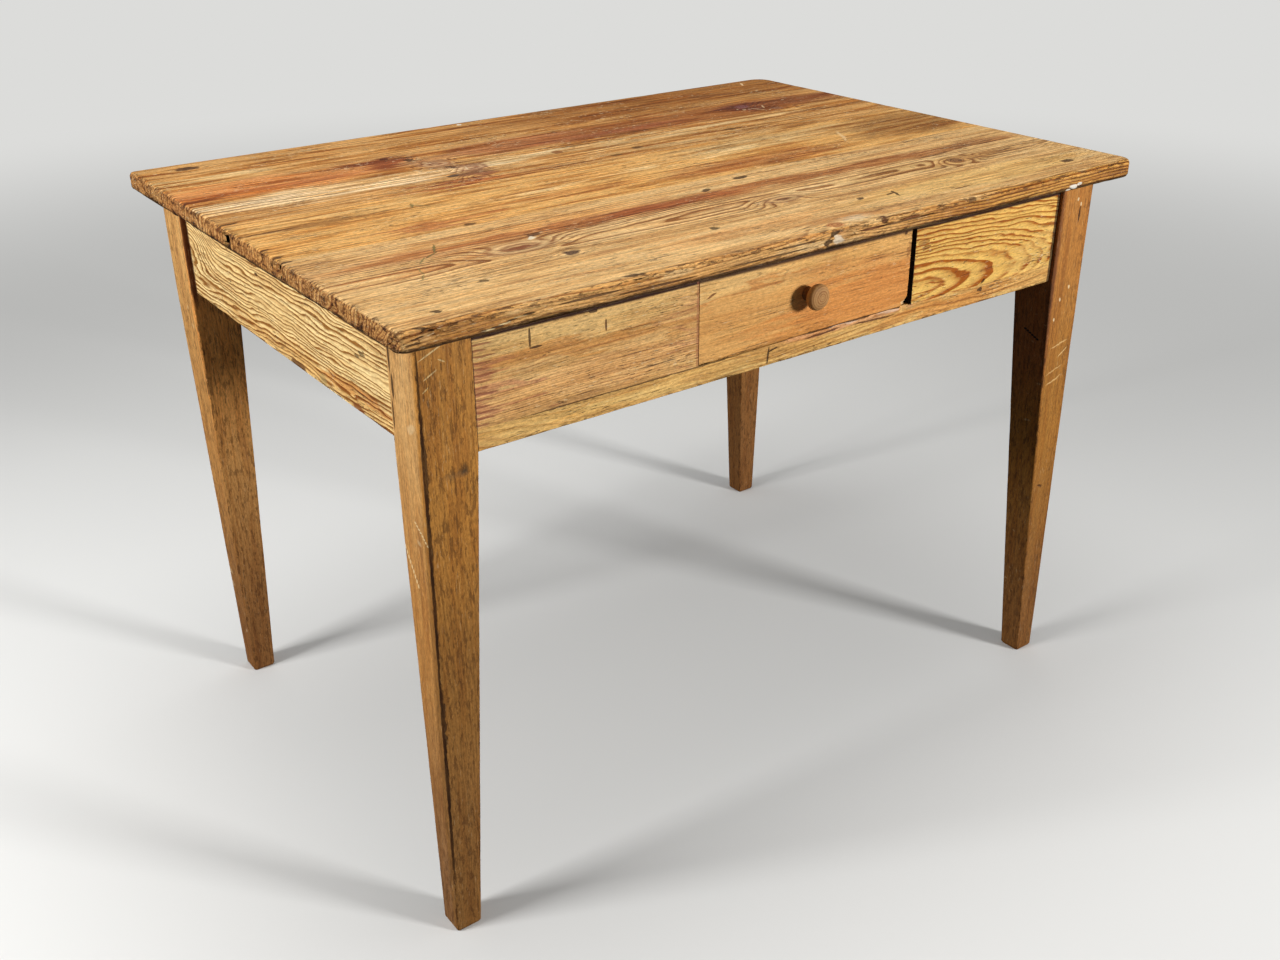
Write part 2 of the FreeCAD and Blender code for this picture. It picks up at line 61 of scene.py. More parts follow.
def take(node, name):
    """A new piece from the mesh of a packed one, its loose triangles joined into whole faces."""
    piece = bpy.data.objects.new(name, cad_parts[node].data.copy())
    bpy.context.scene.collection.objects.link(piece)
    bpy.ops.object.select_all(action="DESELECT")
    bpy.context.view_layer.objects.active = piece
    piece.select_set(True)
    piece.data.materials.clear()
    bpy.ops.mesh.customdata_custom_splitnormals_clear()
    bpy.ops.object.mode_set(mode="EDIT")
    bpy.ops.mesh.select_all(action="SELECT")
    bpy.ops.mesh.remove_doubles(threshold=0.01 * MM)
    bpy.ops.mesh.dissolve_limited(angle_limit=math.radians(0.5))
    bpy.ops.object.mode_set(mode="OBJECT")
    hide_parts(node)
    return piece


def score(piece, axis, places):
    """Cuts a piece's faces across one axis at places in mm, so that there are points to wear away."""
    normal = [0, 0, 0]
    normal[axis] = 1
    bpy.ops.object.mode_set(mode="EDIT")
    for place in places:
        bpy.ops.mesh.select_all(action="SELECT")
        bpy.ops.mesh.bisect(plane_co=[place * MM * n for n in normal], plane_no=normal)
    bpy.ops.object.mode_set(mode="OBJECT")


def steps(low, high, pitch, edge=()):
    """Places from low to high a pitch apart, with closer ones at the given distances from both ends."""
    count = max(1, round((high - low) / pitch))
    places = [low + (high - low) * n / count for n in range(1, count)]
    nearest = max(edge, default=0) + pitch / 3
    places = [p for p in places if p - low > nearest and high - p > nearest]
    return sorted(places + [low + d for d in edge] + [high - d for d in edge])


def smooth(piece):
    """Shades a piece smooth, apart from its sharp arrises."""
    bpy.ops.object.select_all(action="DESELECT")
    bpy.context.view_layer.objects.active = piece
    piece.select_set(True)
    bpy.ops.object.shade_smooth_by_angle(angle=math.radians(35))


def wear(piece, faces, radius, grain=(45, 45, 45), rag=0, fibre=(60, 2.6, 2.6), chips=()):
    """Rounds the arrises of a piece by uneven amounts, frays its outer faces and breaks out chips.

    faces(point) gives, for each worn face near a point, how far in the point is and the face's
    outward normal. A chip is its centre, half its size and its depth, in mm. Points stored as worn,
    from 0 to 1, let the finish follow the rounding.
    """
    worn = []
    for vertex in piece.data.vertices:
        point = vertex.co / MM
        near = sorted(faces(point), key=lambda face: face[0])
        stretched = Vector([p / g for p, g in zip(point, grain)])
        here = radius * (1 + 0.8 * noise.noise(stretched) + 0.5 * noise.noise(stretched * 4.3))
        pulls = [(max(here - inset, 0), normal) for inset, normal in near]
        reach = math.sqrt(sum(pull * pull for pull, normal in pulls))
        inward = Vector()
        if reach > here > 0:
            inward += sum((normal * pull for pull, normal in pulls), Vector()) * (1 - here / reach)
        if near and near[0][0] < 1 and abs(near[0][1].z) < 0.5:
            frayed = noise.noise(Vector([p / f for p, f in zip(point, fibre)]))
            inward += near[0][1] * (rag * max(0, frayed + 0.1))
            for centre, half, depth in chips:
                off = sum(((p - c) / h) ** 2 for p, c, h in zip(point, centre, half))
                inward += near[0][1] * (depth * max(0, 1 - off) ** 0.5)
        vertex.co -= inward * MM
        worn.append(min(1, max(0, 1 - near[1][0] / (3 * radius))) if len(near) > 1 else 0)
    piece.data.attributes.new("worn", "FLOAT", "POINT").data.foreach_set("value", worn)
    smooth(piece)


def linear(colour):
    """An sRGB hex colour as linear red, green, blue and alpha."""
    parts = [int(colour[n:n + 2], 16) / 255 for n in (1, 3, 5)]
    return [p / 12.92 if p <= 0.04045 else ((p + 0.055) / 1.055) ** 2.4 for p in parts] + [1]


def add(tree, kind, inputs=(), operation=None, output=0, stops=None, **settings):
    """Adds a shader node; its inputs are numbers, hex colours or the outputs of other nodes."""
    node = tree.nodes.new("ShaderNode" + kind)
    if operation:
        node.operation = operation
    for setting, value in settings.items():
        setattr(node, setting, value)
    for socket, value in inputs.items() if isinstance(inputs, dict) else enumerate(inputs):
        if isinstance(value, bpy.types.NodeSocket):
            tree.links.new(value, node.inputs[socket])
        else:
            node.inputs[socket].default_value = linear(value) if isinstance(value, str) else value
    if stops:
        ramp = node.color_ramp.elements
        ramp.remove(ramp[1])
        for number, (position, level) in enumerate(stops):
            stop = ramp.new(position) if number else ramp[0]
            stop.position = position
            stop.color = linear(level) if isinstance(level, str) else [level] * 3 + [1]
    return node.outputs[output]


BLEND = dict(output=2, data_type="RGBA")        # a Mix node that lays one colour over another
TINT = dict(BLEND, blend_type="MULTIPLY")       # a Mix node that darkens a colour by another
EASED = dict(interpolation_type="SMOOTHSTEP")   # a Map Range node with soft ends


def spot(x, y, long, wide, colour=None, amount=0.85, turn=0, deep=0, **more):
    """An oval tone or mark: its place and half its size in mm, and how much of its colour shows.

    x and long run along the grain, and y and wide across it. deep is how far its middle lies in the
    wood, or that and half its thickness. A mark may also rise out of the wood or be sunk in it.
    """
    middle, *thick = deep if isinstance(deep, tuple) else [deep]
    patch = dict(at=(x, y, middle), half=(long, wide, *thick), amount=amount, turn=turn, **more)
    return dict(patch, colour=colour) if colour else patch


def pine(name, origin, along, across, inward, heart, spacing, colour, lines=0.6,
         late=(0.4, 0.25, 0.15), sway=(14, 7, 2), tilt=(0, 0), lean=None, tones=(), knots=(), marks=(),
         seed=0, rough=0.5, scratches=0.35, relief=0.4, flecks=0.7, scuffs=0.5, streaks=1, grit=1,
         cracks=0.7, narrowing=1, fine=3.4):
    """Old waxed pine, planed by hand and worn: warm, satin, and lined by its growth rings.

    The rings are cylinders about the tree's heart, which lies along the board: heart is its place
    across the face and its depth under it, in mm, tilt its slope, and sway how far it wanders aside,
    in depth and in ripples. So a flat face shows lines and arches, and the ends show arcs. Hard dark
    latewood stands a little proud of the soft pale wood. Spacing is a year's growth, 3 to 6 mm in
    fast pine; narrowing over 1 makes the outer years thinner. A real fibre is under 0.1 mm wide, and
    is drawn as wide as fine says, so that it shows.
    """
    material = bpy.data.materials.new(name)
    material.use_nodes = True
    tree = material.node_tree
    shader = tree.nodes["Principled BSDF"]
    node = partial(add, tree)

    def oval(place, centre, half_size, turn=0, depth=400):
        """1 at the middle of an oval patch of the board, falling evenly to 0 at its rim."""
        centre = [*centre, 0][:3]
        half_size = [*half_size, depth][:3]
        local = node("Mapping", {
            "Vector": place, "Location": centre, "Rotation": (0, 0, math.radians(turn)),
            "Scale": half_size}, vector_type="TEXTURE")
        return node("TexGradient", {"Vector": local}, output="Fac", gradient_type="SPHERICAL")

    def cloud(place, lengths, detail=2, roughness=0.5, shift=0):
        """Cloudy noise, its features about as long and wide as the given lengths in mm."""
        local = node("VectorMath", (place, [1 / v for v in lengths], [shift] * 3), "MULTIPLY_ADD")
        return node("TexNoise", {
            "Vector": local, "Scale": 1, "Detail": detail, "Roughness": roughness}, output="Fac")

    # Place on the board in mm: along the grain, across the face, and depth under the face.
    at = node("TexCoord", output="Object")
    at = node("VectorMath", (at, [v * MM for v in origin]), "SUBTRACT")
    at = node("VectorMath", {0: at, "Scale": 1 / MM}, "SCALE")
    along_it, over_it, under_it = [
        node("VectorMath", (at, way), "DOT_PRODUCT", output="Value") for way in (along, across, inward)]
    place = node("CombineXYZ", (along_it, over_it, under_it))

    # Grain parts round a knot, as water does round a stone.
    parted, swell, calm = over_it, 0, 1
    for knot in knots:
        mask = oval(place, knot["at"], knot["reach"], knot.get("turn", 0))
        mask = node("MapRange", (mask,), interpolation_type="SMOOTHERSTEP")
        off = node("Math", (knot["at"][1], parted), "SUBTRACT")
        off = node("Math", (off, mask), "MULTIPLY")
        parted = node("Math", (off, knot.get("part", 0.6), parted), "MULTIPLY_ADD")
        swell = node("Math", (mask, knot.get("push", 20), swell), "MULTIPLY_ADD")
        calm = node("MapRange", (mask, 0, 0.5, calm, 0.25))
    # Each board's seed moves it into wood of its own.
    flow = node("CombineXYZ", (along_it, parted, under_it))
    flow = node("VectorMath", (flow, (seed * 731, seed * 97, seed * 53)), "ADD")

    # The heart wanders as the tree did, slowly along the board and in small ripples.
    wander, dive, ripple = [
        node("MapRange", (cloud(flow, size, detail, shift=shift), low, 1 - low, -far, far), clamp=False)
        for size, detail, shift, low, far in (
            ((430, 120, 120), 1, 0, 0.25, sway[0]), ((240, 60, 60), 2, 17, 0.25, sway[1]),
            ((60, 15, 15), 2, 27, 0.2, sway[2]))]
    aside = node("Math", (along_it, tilt[0], -heart[0]), "MULTIPLY_ADD")
    aside = node("Math", (aside, parted), "ADD")
    for shift in (wander, ripple):
        aside = node("Math", (shift, calm, aside), "MULTIPLY_ADD")
    if lean:
        mask = oval(place, lean["at"], lean["half"])
        mask = node("Math", (mask, under_it), "MULTIPLY")
        aside = node("Math", (mask, lean["amount"], aside), "MULTIPLY_ADD")
    depth = node("Math", (along_it, tilt[1], heart[1]), "MULTIPLY_ADD")
    depth = node("Math", (depth, under_it), "SUBTRACT")
    depth = node("Math", (dive, calm, depth), "MULTIPLY_ADD")
    depth = node("Math", (ripple, 0.45, depth), "MULTIPLY_ADD")
    radial = node("CombineXYZ", (0, aside, depth))
    radius = node("VectorMath", (radial,), "LENGTH", output="Value")
    radius = node("Math", (radius, swell), "ADD")

    # Rings: years differ in width and darkness; latewood darkens slowly and ends sharply.
    rings = node("Math", (radius, spacing), "DIVIDE")
    rings = node("Math", (rings, narrowing), "POWER")
    years = node("TexNoise", {"W": rings, "Scale": 0.21, "Detail": 0}, noise_dimensions="1D")
    rings = node("Math", (years, 1.6, rings), "MULTIPLY_ADD")
    year = node("Math", (rings,), "FLOOR")
    part = node("Math", (rings,), "FRACT")
    line = node("ValToRGB", (part,), stops=[
        (0, 0.35), (0.07, 0), (0.38, 0.04), (0.66, 0.42), (0.82, 1), (0.95, 1), (1, 0.35)])
    strength = node("TexWhiteNoise", {"W": year}, output="Value", noise_dimensions="1D")
    strength = node("MapRange", {0: strength, 3: 0.5, 4: 1.1})
    line = node("Math", (line, strength), "MULTIPLY")

    # How plain or strong the lines are changes over the board, and so does the ground colour.
    fade = cloud(flow, (200, 30, 30), shift=5)
    fade = node("MapRange", (fade, 0.32, 0.68, lines * 0.6, lines * 1.35))
    drift_x = cloud(flow, (90, 9, 9), detail=3, shift=3)
    drift_y = cloud(flow, (70, 12, 12), detail=4, shift=9)
    drift_x = node("MapRange", (drift_x, 0.2, 0.8, -110, 110), clamp=False)
    drift_y = node("MapRange", (drift_y, 0.2, 0.8, -14, 14), clamp=False)
    drift = node("CombineXYZ", (drift_x, drift_y, 0))
    base = colour
    for tone in tones:
        moved = node("VectorMath", (drift, [tone.get("drift", 1)] * 3, place), "MULTIPLY_ADD")
        mask = oval(moved, tone["at"], tone["half"], tone["turn"])
        mask = node("MapRange", {0: mask, 2: tone.get("soft", 0.5)}, **EASED)
        if "lines" in tone:
            fade = node("Mix", {0: mask, 2: fade, 3: tone["lines"]})
        if "colour" in tone:
            mixed = node("Math", (mask, tone["amount"]), "MULTIPLY")
            base = node("Mix", {0: mixed, 6: base, 7: tone["colour"]}, **BLEND)

    # Streaks along the grain, from deep orange to bleached; narrow dark fibre; short uneven grit.
    broad = cloud(flow, (150, 12, 12), detail=5, roughness=0.62, shift=21)
    broad = node("ValToRGB", (broad,), stops=[
        (0.33, "#ac7e50"), (0.43, "#dec296"), (0.51, "#fdf5e6"), (0.62, "#ffffff")])
    base = node("Mix", {0: 0.8 * streaks, 6: base, 7: broad}, **TINT)
    fibre = cloud(flow, (75, fine, fine), detail=5, roughness=0.62, shift=31)
    streak = node("MapRange", (fibre, 0.3, 0.7, 1 - 0.32 * streaks, 1 + 0.36 * streaks), clamp=False)
    speck = cloud(flow, (6, 2.1, 2.1), detail=3, roughness=0.8, shift=37)
    speck = node("MapRange", (speck, 0.3, 0.7, 1 - 0.32 * grit, 1 + 0.38 * grit), clamp=False)
    streak = node("Math", (streak, speck), "MULTIPLY")
    streak = node("CombineXYZ", (streak, streak, streak))
    base = node("Mix", {0: 1, 6: base, 7: streak}, **TINT)

    # Ends show the rings most clearly, in wood darkened by the dirt that open pores drink in.
    facing = node("TexCoord", output="Normal")
    ended = node("VectorMath", (facing, along), "DOT_PRODUCT", output="Value")
    ended = node("Math", (ended,), "ABSOLUTE")
    ended = node("MapRange", (ended, 0.45, 0.9), **EASED)
    fade = node("Mix", {0: ended, 2: fade, 3: 1.3})
    pith = cloud(flow, (60, 14, 7), detail=6, roughness=0.75, shift=81)
    pith = node("ValToRGB", (pith,), stops=[
        (0.36, "#4e3826"), (0.43, "#a08262"), (0.5, "#ecd6b4"), (0.62, "#fff4e0")])
    soaked = node("Math", (ended, grit), "MULTIPLY")
    bleached = node("Math", (soaked, 0.7), "MULTIPLY")
    base = node("Mix", {0: bleached, 6: base, 7: "#d2aa76"}, **BLEND)
    base = node("Mix", {0: soaked, 6: base, 7: pith}, **TINT)

    # Latewood lines, broken by the fibre, tint the wood and stand proud of it.
    broken = node("MapRange", (fibre, 0.3, 0.6, 1.15, 0.8))
    line = node("Math", (line, fade), "MULTIPLY")
    line = node("Math", (line, broken), "MULTIPLY", use_clamp=True)
    tint = node("Mix", {0: line, 6: [1, 1, 1, 1], 7: [*late, 1]}, **BLEND)
    base = node("Mix", {0: 1, 6: base, 7: tint}, **TINT)
    height = node("Math", (line, 0.6), "MULTIPLY")
    height = node("Math", (fibre, 0.9, height), "MULTIPLY_ADD")
    height = node("Math", (speck, 0.5, height), "MULTIPLY_ADD")

    # Hairline cracks, dark pores full of dirt and wax, and pale scuffs, in uneven crowds. Each is
    # drawn near 2 mm wide, coarser than it is, so that it shows.
    crowd = cloud(flow, (90, 40, 40), shift=47)
    for shift, shade, long, wide, least, deep, amount in (
            (51, "#5c3818", 90, 1.7, 0.80, -0.6, cracks),
            (41, "#3c2212", 13, 1.9, 0.78, -0.5, flecks),
            (71, "#f3dcae", 11, 1.9, 0.81, 0, scuffs)):
        fleck = cloud(flow, (long, wide, wide), roughness=0.6, shift=shift)
        fleck = node("Math", (crowd, 0.3, fleck), "MULTIPLY_ADD")
        fleck = node("MapRange", {0: fleck, 1: least, 2: least + 0.07, 4: amount}, **EASED)
        base = node("Mix", {0: fleck, 6: base, 7: shade}, **BLEND)
        height = node("Math", (fleck, deep, height), "MULTIPLY_ADD")

    # Knots and marks have torn, uneven rims.
    torn_x = cloud(place, (12, 6, 6), detail=3, shift=61)
    torn_y = cloud(place, (12, 6, 6), detail=3, shift=67)
    torn_x = node("MapRange", {0: torn_x, 3: -9, 4: 9})
    torn_y = node("MapRange", {0: torn_y, 3: -5, 4: 5})
    torn = node("CombineXYZ", (torn_x, torn_y, 0))
    for knot in knots:
        if "core" not in knot:
            continue
        ragged = [0.3 if "eye" in knot else 0.9] * 3
        ragged = node("VectorMath", (torn, ragged, place), "MULTIPLY_ADD")
        mask = oval(ragged, knot["at"], knot["core"], knot.get("turn", 0))
        solid = node("MapRange", (mask, 0.02, 0.4), **EASED)
        inner = node("Math", (mask, knot.get("rings", 22)), "MULTIPLY")
        inner = node("Math", (inner,), "SINE")
        inner = node("MapRange", (inner, -1, 1, 0, 1))
        shade = node("Mix", {
            0: inner, 6: knot.get("colour", "#5a3018"), 7: knot.get("ring", "#96643c")}, **BLEND)
        shade = node("Mix", {0: 0.6, 6: shade, 7: streak}, **TINT)
        solid = node("Math", (solid, knot.get("amount", 0.95)), "MULTIPLY")
        base = node("Mix", {0: solid, 6: base, 7: shade}, **BLEND)
        height = node("Math", (solid, 0.8, height), "MULTIPLY_ADD")
    for mark in marks:
        ragged = 0 if mark.get("crisp") else 0.3 if min(mark["half"]) < 3 else 0.9
        ragged = node("VectorMath", (torn, [ragged] * 3, place), "MULTIPLY_ADD")
        mask = oval(ragged, mark["at"], mark["half"], mark["turn"], depth=8)
        mask = node("MapRange", {0: mask, 2: mark.get("soft", 0.35)}, **EASED)
        mask = node("Math", (mask, mark["amount"]), "MULTIPLY")
        base = node("Mix", {0: mask, 6: base, 7: mark.get("colour", "#38200f")}, **BLEND)
        height = node("Math", (mask, mark.get("rise", -2), height), "MULTIPLY_ADD")

    # Pale scratches across the grain, and dirt rubbed into the hollows along worn arrises.
    for turn in (38, -52, 81):
        turned = node("Mapping", {
            "Vector": flow, "Rotation": (0, 0, math.radians(turn)), "Scale": (1 / 30, 1 / 0.8, 1 / 30)})
        scratch = node("TexNoise", {"Vector": turned, "Scale": 1, "Detail": 1})
        scratch = node("MapRange", {0: scratch, 1: 0.75, 2: 0.8, 4: scratches})
        base = node("Mix", {0: scratch, 6: base, 7: "#ecd0a0"}, **BLEND)
        height = node("Math", (scratch, -0.4, height), "MULTIPLY_ADD")
    worn = node("Attribute", output="Fac", attribute_name="worn")
    hollow = cloud(flow, (16, 4, 4), detail=4, roughness=0.7, shift=91)
    hollow = node("MapRange", (hollow, 0.5, 0.6), **EASED)
    hollow = node("Math", (hollow, worn), "MULTIPLY")
    hollow = node("MapRange", {0: hollow, 1: 0.15, 2: 0.7, 4: 0.75})
    base = node("Mix", {0: hollow, 6: base, 7: "#4a2a12"}, **BLEND)
    height = node("Math", (hollow, -0.8, height), "MULTIPLY_ADD")

    # Wax fills the pale wood least: it and the ends are duller than the hard lines.
    roughness = node("MapRange", {0: line, 3: rough + 0.08, 4: rough - 0.1})
    roughness = node("Math", (ended, 0.25, roughness), "MULTIPLY_ADD", use_clamp=True)
    bump = node("Bump", {"Height": height, "Strength": 1, "Distance": relief * MM})
    tree.links.new(base, shader.inputs["Base Color"])
    tree.links.new(roughness, shader.inputs["Roughness"])
    tree.links.new(bump, shader.inputs["Normal"])
    shader.inputs["Specular IOR Level"].default_value = 0.2
    return material


def leg_faces(side, end):
    """For a leg: how far in from each of its four faces and its sole a point is."""
    lean_x, lean_y = FOOT_LEAN[side, end]
    out_x = -1 if side == "left" else 1
    out_y = -1 if end == "front" else 1

    def faces(point):
        down = max(0, (KNEE - point.z) / KNEE)
        size = LEG + (FOOT - LEG) * down
        x = (LEG_OUTER[side] + lean_x * down - point.x) * out_x
        y = (LEG_OUTER[end] + lean_y * down - point.y) * out_y
        return [
            (x, Vector((out_x, 0, 0))), (size - x, Vector((-out_x, 0, 0))),
            (y, Vector((0, out_y, 0))), (size - y, Vector((0, -out_y, 0))),
            (point.z, Vector((0, 0, -1))),
        ]
    return faces


# Height, then across from the leg's middle, then depth from it, in mm: its front face is at -31.
LEG_LOOKS = {
    ("left", "front"): dict(high="#cfa267", colour="#b88346", low="#8e6640", seed=1, tones=[
        spot(520, 0, 360, 300, "#b47c36", 0.95, deep=(-31, 14), drift=0),
        spot(200, 0, 420, 300, "#8a602f", 0.8, deep=(-24, 12), drift=0)], marks=[
        *[spot(height, over, long, wide, shade, turn=turn, deep=-31, crisp=True, rise=-0.6)
          for height, over, long, wide, shade, turn in (
              (722, -14, 1, 17, "#e8c88c", -24), (712, -3, 0.9, 5, "#e2c084", 30),
              (700, -16, 1, 10, "#e2c084", -28), (686, -22, 0.9, 5, "#dcb878", -36))],
        spot(592, 13, 9, 8, "#443828", deep=-31, soft=0.9),
        spot(590, 0, 6, 18, "#5c4a34", 0.45, deep=-31, soft=1),
        spot(708, -31, 22, 9, "#2e1a0c", deep=(24.5, 2.6), crisp=True),
        spot(676, -31, 16, 9, "#2e1a0c", deep=(21.5, 2.8), crisp=True),
        spot(644, -31, 20, 9, "#3a2210", deep=(25, 2.2), crisp=True),
        *[spot(535 - 2.4 * n, -31, 1.6, 9, "#ecd09c", 0.7, deep=(-3 - 3.3 * n, 2.6), crisp=True,
              rise=-0.4) for n in range(8)],
        *[spot(500 - 4.6 * n, -31, 3.2, 9, "#ecd09c", 0.7, deep=(27 - 2.8 * n, 2), crisp=True,
              rise=-0.4) for n in range(10)],
        *[spot(670 - 75 * n, -29.5 - 0.6 * n, 76, 1.5 + 0.6 * (n * 3 % 4), "#2a160a", 0.8, turn=0.5,
              deep=(-31.6 + 0.7 * n, 4), rise=-0.6) for n in range(8)],
    ]),
    ("right", "front"): dict(high="#b87c3a", colour="#a4702f", low="#82572c", seed=2, tones=[
        # Painted shade: the inner face, in shade under the table, is painted darker.
        spot(380, -31, 520, 14, "#905527", 0.9, deep=(0, 300), drift=0)], marks=[
        spot(690, 8, 14, 2, "#3a1e0e", deep=-31),
        spot(508, 4, 1.5, 20, "#e6bc7c", 0.65, turn=-12, deep=-31, rise=-0.5),
        spot(494, 14, 1.2, 13, "#e6bc7c", turn=-32, deep=-31, crisp=True, rise=-0.5),
        spot(470, 0, 1.4, 20, "#dcb070", 0.65, turn=-14, deep=-31, rise=-0.5),
        spot(454, 2, 1.4, 19, "#e6bc7c", 0.65, turn=-17, deep=-31, rise=-0.5),
        *[spot(height, over, 3.4, 1.9, "#f0d8aa", 0.75, deep=-31, rise=0)
          for height, over in ((712, 2), (704, 9), (590, 8), (575, -8), (548, -15))],
        spot(500, -28, 330, 6, "#5a3216", 0.8, deep=(-30, 7), soft=0.8, rise=0),
        spot(288, 4, 3, 9, "#4c2c14", turn=20, deep=-28),
        *[spot(527 - 2 * n, -28, 1.8, 9, "#140a05", 1, deep=(5 - 4.2 * n, 3.2),
              crisp=True) for n in range(6)],
    ]),
    ("left", "back"): dict(high="#d4a566", colour="#bd894c", low="#8c5f34", seed=3, tones=[
        # Painted light: the front face, in shade under the table, is painted paler.
        spot(520, 0, 300, 300, "#dc9a52", 0.9, deep=(-31, 12), drift=0)], marks=[
        spot(215, 6, 9, 5, "#3a2010", deep=-30),
        spot(188, -4, 6, 4, "#4a2814", deep=-29),
        spot(672, -27, 95, 9, "#54220f", 0.9, deep=(-31, 2.5), rise=0)]),
    ("right", "back"): dict(high="#a06c3a", colour="#9a6834", low="#8c5f34", seed=4, tones=[
        # Painted shade: the front face is painted darker near the apron, where the table shades it.
        spot(560, 0, 260, 300, "#6a421f", deep=(-31, 14), drift=0)], marks=[
        spot(430, -6, 6, 4, "#3a2010", deep=-31)]),
}
for (side, end), look in LEG_LOOKS.items():
    leg = take("leg_" + end + "_" + side, end + "_" + side + "_leg")
    score(leg, 2, steps(0, UNDER_TOP, 8, edge=(1.5, 4, 8)))
    wear(leg, leg_faces(side, end), 1.8, grain=(40, 40, 60), rag=0.5, fibre=(9, 9, 70))
    middle = [
        LEG_OUTER[side] + (LEG / 2 if side == "left" else -LEG / 2),
        LEG_OUTER[end] + (LEG / 2 if end == "front" else -LEG / 2), 0]
    # Rubbed brown by wax and hands; painted light and shade make it palest near the top, darker at the
    # foot.
    heights = [
        spot(UNDER_TOP, 0, 330, 900, look["high"], 1, soft=0.9, drift=0),
        spot(0, 0, 420, 900, look["low"], 1, soft=0.9, drift=0)]
    leg.data.materials.append(pine(
        "brown_waxed_pine_" + leg.name, middle, (0, 0, 1), (1, 0, 0), (0, 1, 0), (80, -60), 3.6,
        look["colour"], lines=0.4, late=(0.5, 0.38, 0.28), tones=heights + look["tones"],
        marks=look["marks"], seed=look["seed"], streaks=0.5, grit=0.9, flecks=0.35, cracks=0.3,
        scuffs=0.15, relief=0.3, fine=2.2))
    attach(leg, "frame")

# ---- Aprons ----
# Three boards on edge, with haunched tenons in the legs, set back 7 mm from the legs' faces. Their
# growth lines stand out dark on yellow, and the corner under the top is dark with painted shade and
# dirt.

BETWEEN_FRONT = (-448, 436)     # mm, from leg to leg along the front and the back
BETWEEN_SIDE = (-283, 289)      # mm, from leg to leg along the sides
CLEAN_EDGE = dict(crisp=True, rise=0)     # a mark with a clean edge, for dark joints and for painted shade along joints and under the top


def board_faces(node, worn_sides, low_end, high_end, axis):
    """For a board: how far in from each worn side a point is, between the ends of what shows."""
    low, high = (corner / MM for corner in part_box(node))

    def faces(point):
        if not low_end <= point[axis] <= high_end:
            return []
        near = []
        for side in worn_sides:
            way = "xyz".index(side[1])
            normal = Vector((0, 0, 0))
            normal[way] = 1 if side[0] == "+" else -1
            near.append((high[way] - point[way] if side[0] == "+" else point[way] - low[way], normal))
        return near
    return faces


APRON_LOOKS = {
    "left": dict(
        origin=(-503, 0, 0), along=(0, 1, 0), inward=(1, 0, 0), colour="#f6d798",
        heart=(576, 40), spacing=4.7, sway=(6, 9, 3.6), tilt=(0.02, 0), lines=2,
        knots=[dict(at=(300, 700), reach=(140, 80), push=-40, part=0)],
        tones=[
            spot(-60, 622, 330, 16, "#e4b266", 0.6),
            spot(-190, 632, 90, 8, "#d08a40", 0.7)],
        marks=[
            spot(-38, 612, 24, 9, "#5c3010", rise=-0.6),
            spot(-190, 614, 16, 7, "#84481c", rise=-0.4),
            spot(-104, 618, 10, 8, "#a8905c", 0.6, rise=0),
            spot(-212, 682, 9, 3.5, "#5a4628", 0.8),
            spot(-200, 676, 7, 2.5, "#5a4628", 0.7),
            spot(60, 696, 5, 2.5, "#40240e"),
            # Painted shade with dirt: a dark line along the corner under the top.
            spot(0, 738, 600, 3.4, "#26140a", **CLEAN_EDGE),
            spot(288.5, 674, 4, 130, "#4a2012", **CLEAN_EDGE),
            spot(-282, 674, 2.4, 130, "#3a2010", **CLEAN_EDGE)]),
    "right": dict(
        origin=(491, 0, 0), along=(0, 1, 0), inward=(-1, 0, 0), colour="#d8ae68",
        heart=(640, 24), spacing=5, sway=(12, 8, 2.4), lines=0.9,
        # Painted shade with dirt: a dark line along the corner under the top.
        marks=[spot(0, 738, 600, 3.4, "#26140a", **CLEAN_EDGE)]),
    "back": dict(
        origin=(0, 344, 0), along=(1, 0, 0), inward=(0, -1, 0), colour="#d6ab66",
        heart=(660, 18), spacing=5.2, sway=(16, 8, 2.4), lines=0.85,
        knots=[
            dict(at=(-150, 690), reach=(70, 36), push=22, core=(13, 11), colour="#6a3c1c"),
            dict(at=(210, 652), reach=(60, 30), push=18, core=(11, 9), colour="#6a3c1c")],
        # Painted shade with dirt: a dark line along the corner under the top.
        marks=[spot(0, 738, 900, 3.4, "#26140a", **CLEAN_EDGE)]),
}
for number, (side, look) in enumerate(APRON_LOOKS.items()):
    apron = take("apron_" + side, side + "_apron")
    ends, axis, worn_sides = BETWEEN_SIDE, 1, ("-x", "+x", "-z")
    if side == "back":
        ends, axis, worn_sides = BETWEEN_FRONT, 0, ("-y", "+y", "-z")
    score(apron, axis, steps(*ends, 7))
    score(apron, 2, steps(611, UNDER_TOP, 6, edge=(1.2, 3)))
    wear(apron, board_faces("apron_" + side, worn_sides, *ends, axis), 1.6, rag=0.7, fibre=(70, 70, 9))
    apron.data.materials.append(pine(
        "waxed_pine_" + apron.name, across=(0, 0, 1), late=(0.34, 0.20, 0.09), seed=5 + number,
        streaks=0.55, grit=0.7, relief=0.5, **look))
    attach(apron, "frame")

# ---- Built-up front ----
# A low rail is tenoned between the front legs, and a fixed panel stands on it each side of the drawer.
# The rail's upper lip is splintered where the drawer has dragged over it.

FACE = (0, -340, 0)     # mm, a point in the plane of the front, from which its places are measured
ON_FACE = ((1, 0, 0), (0, 0, 1), (0, 1, 0))     # along the grain, across it, and into the wood

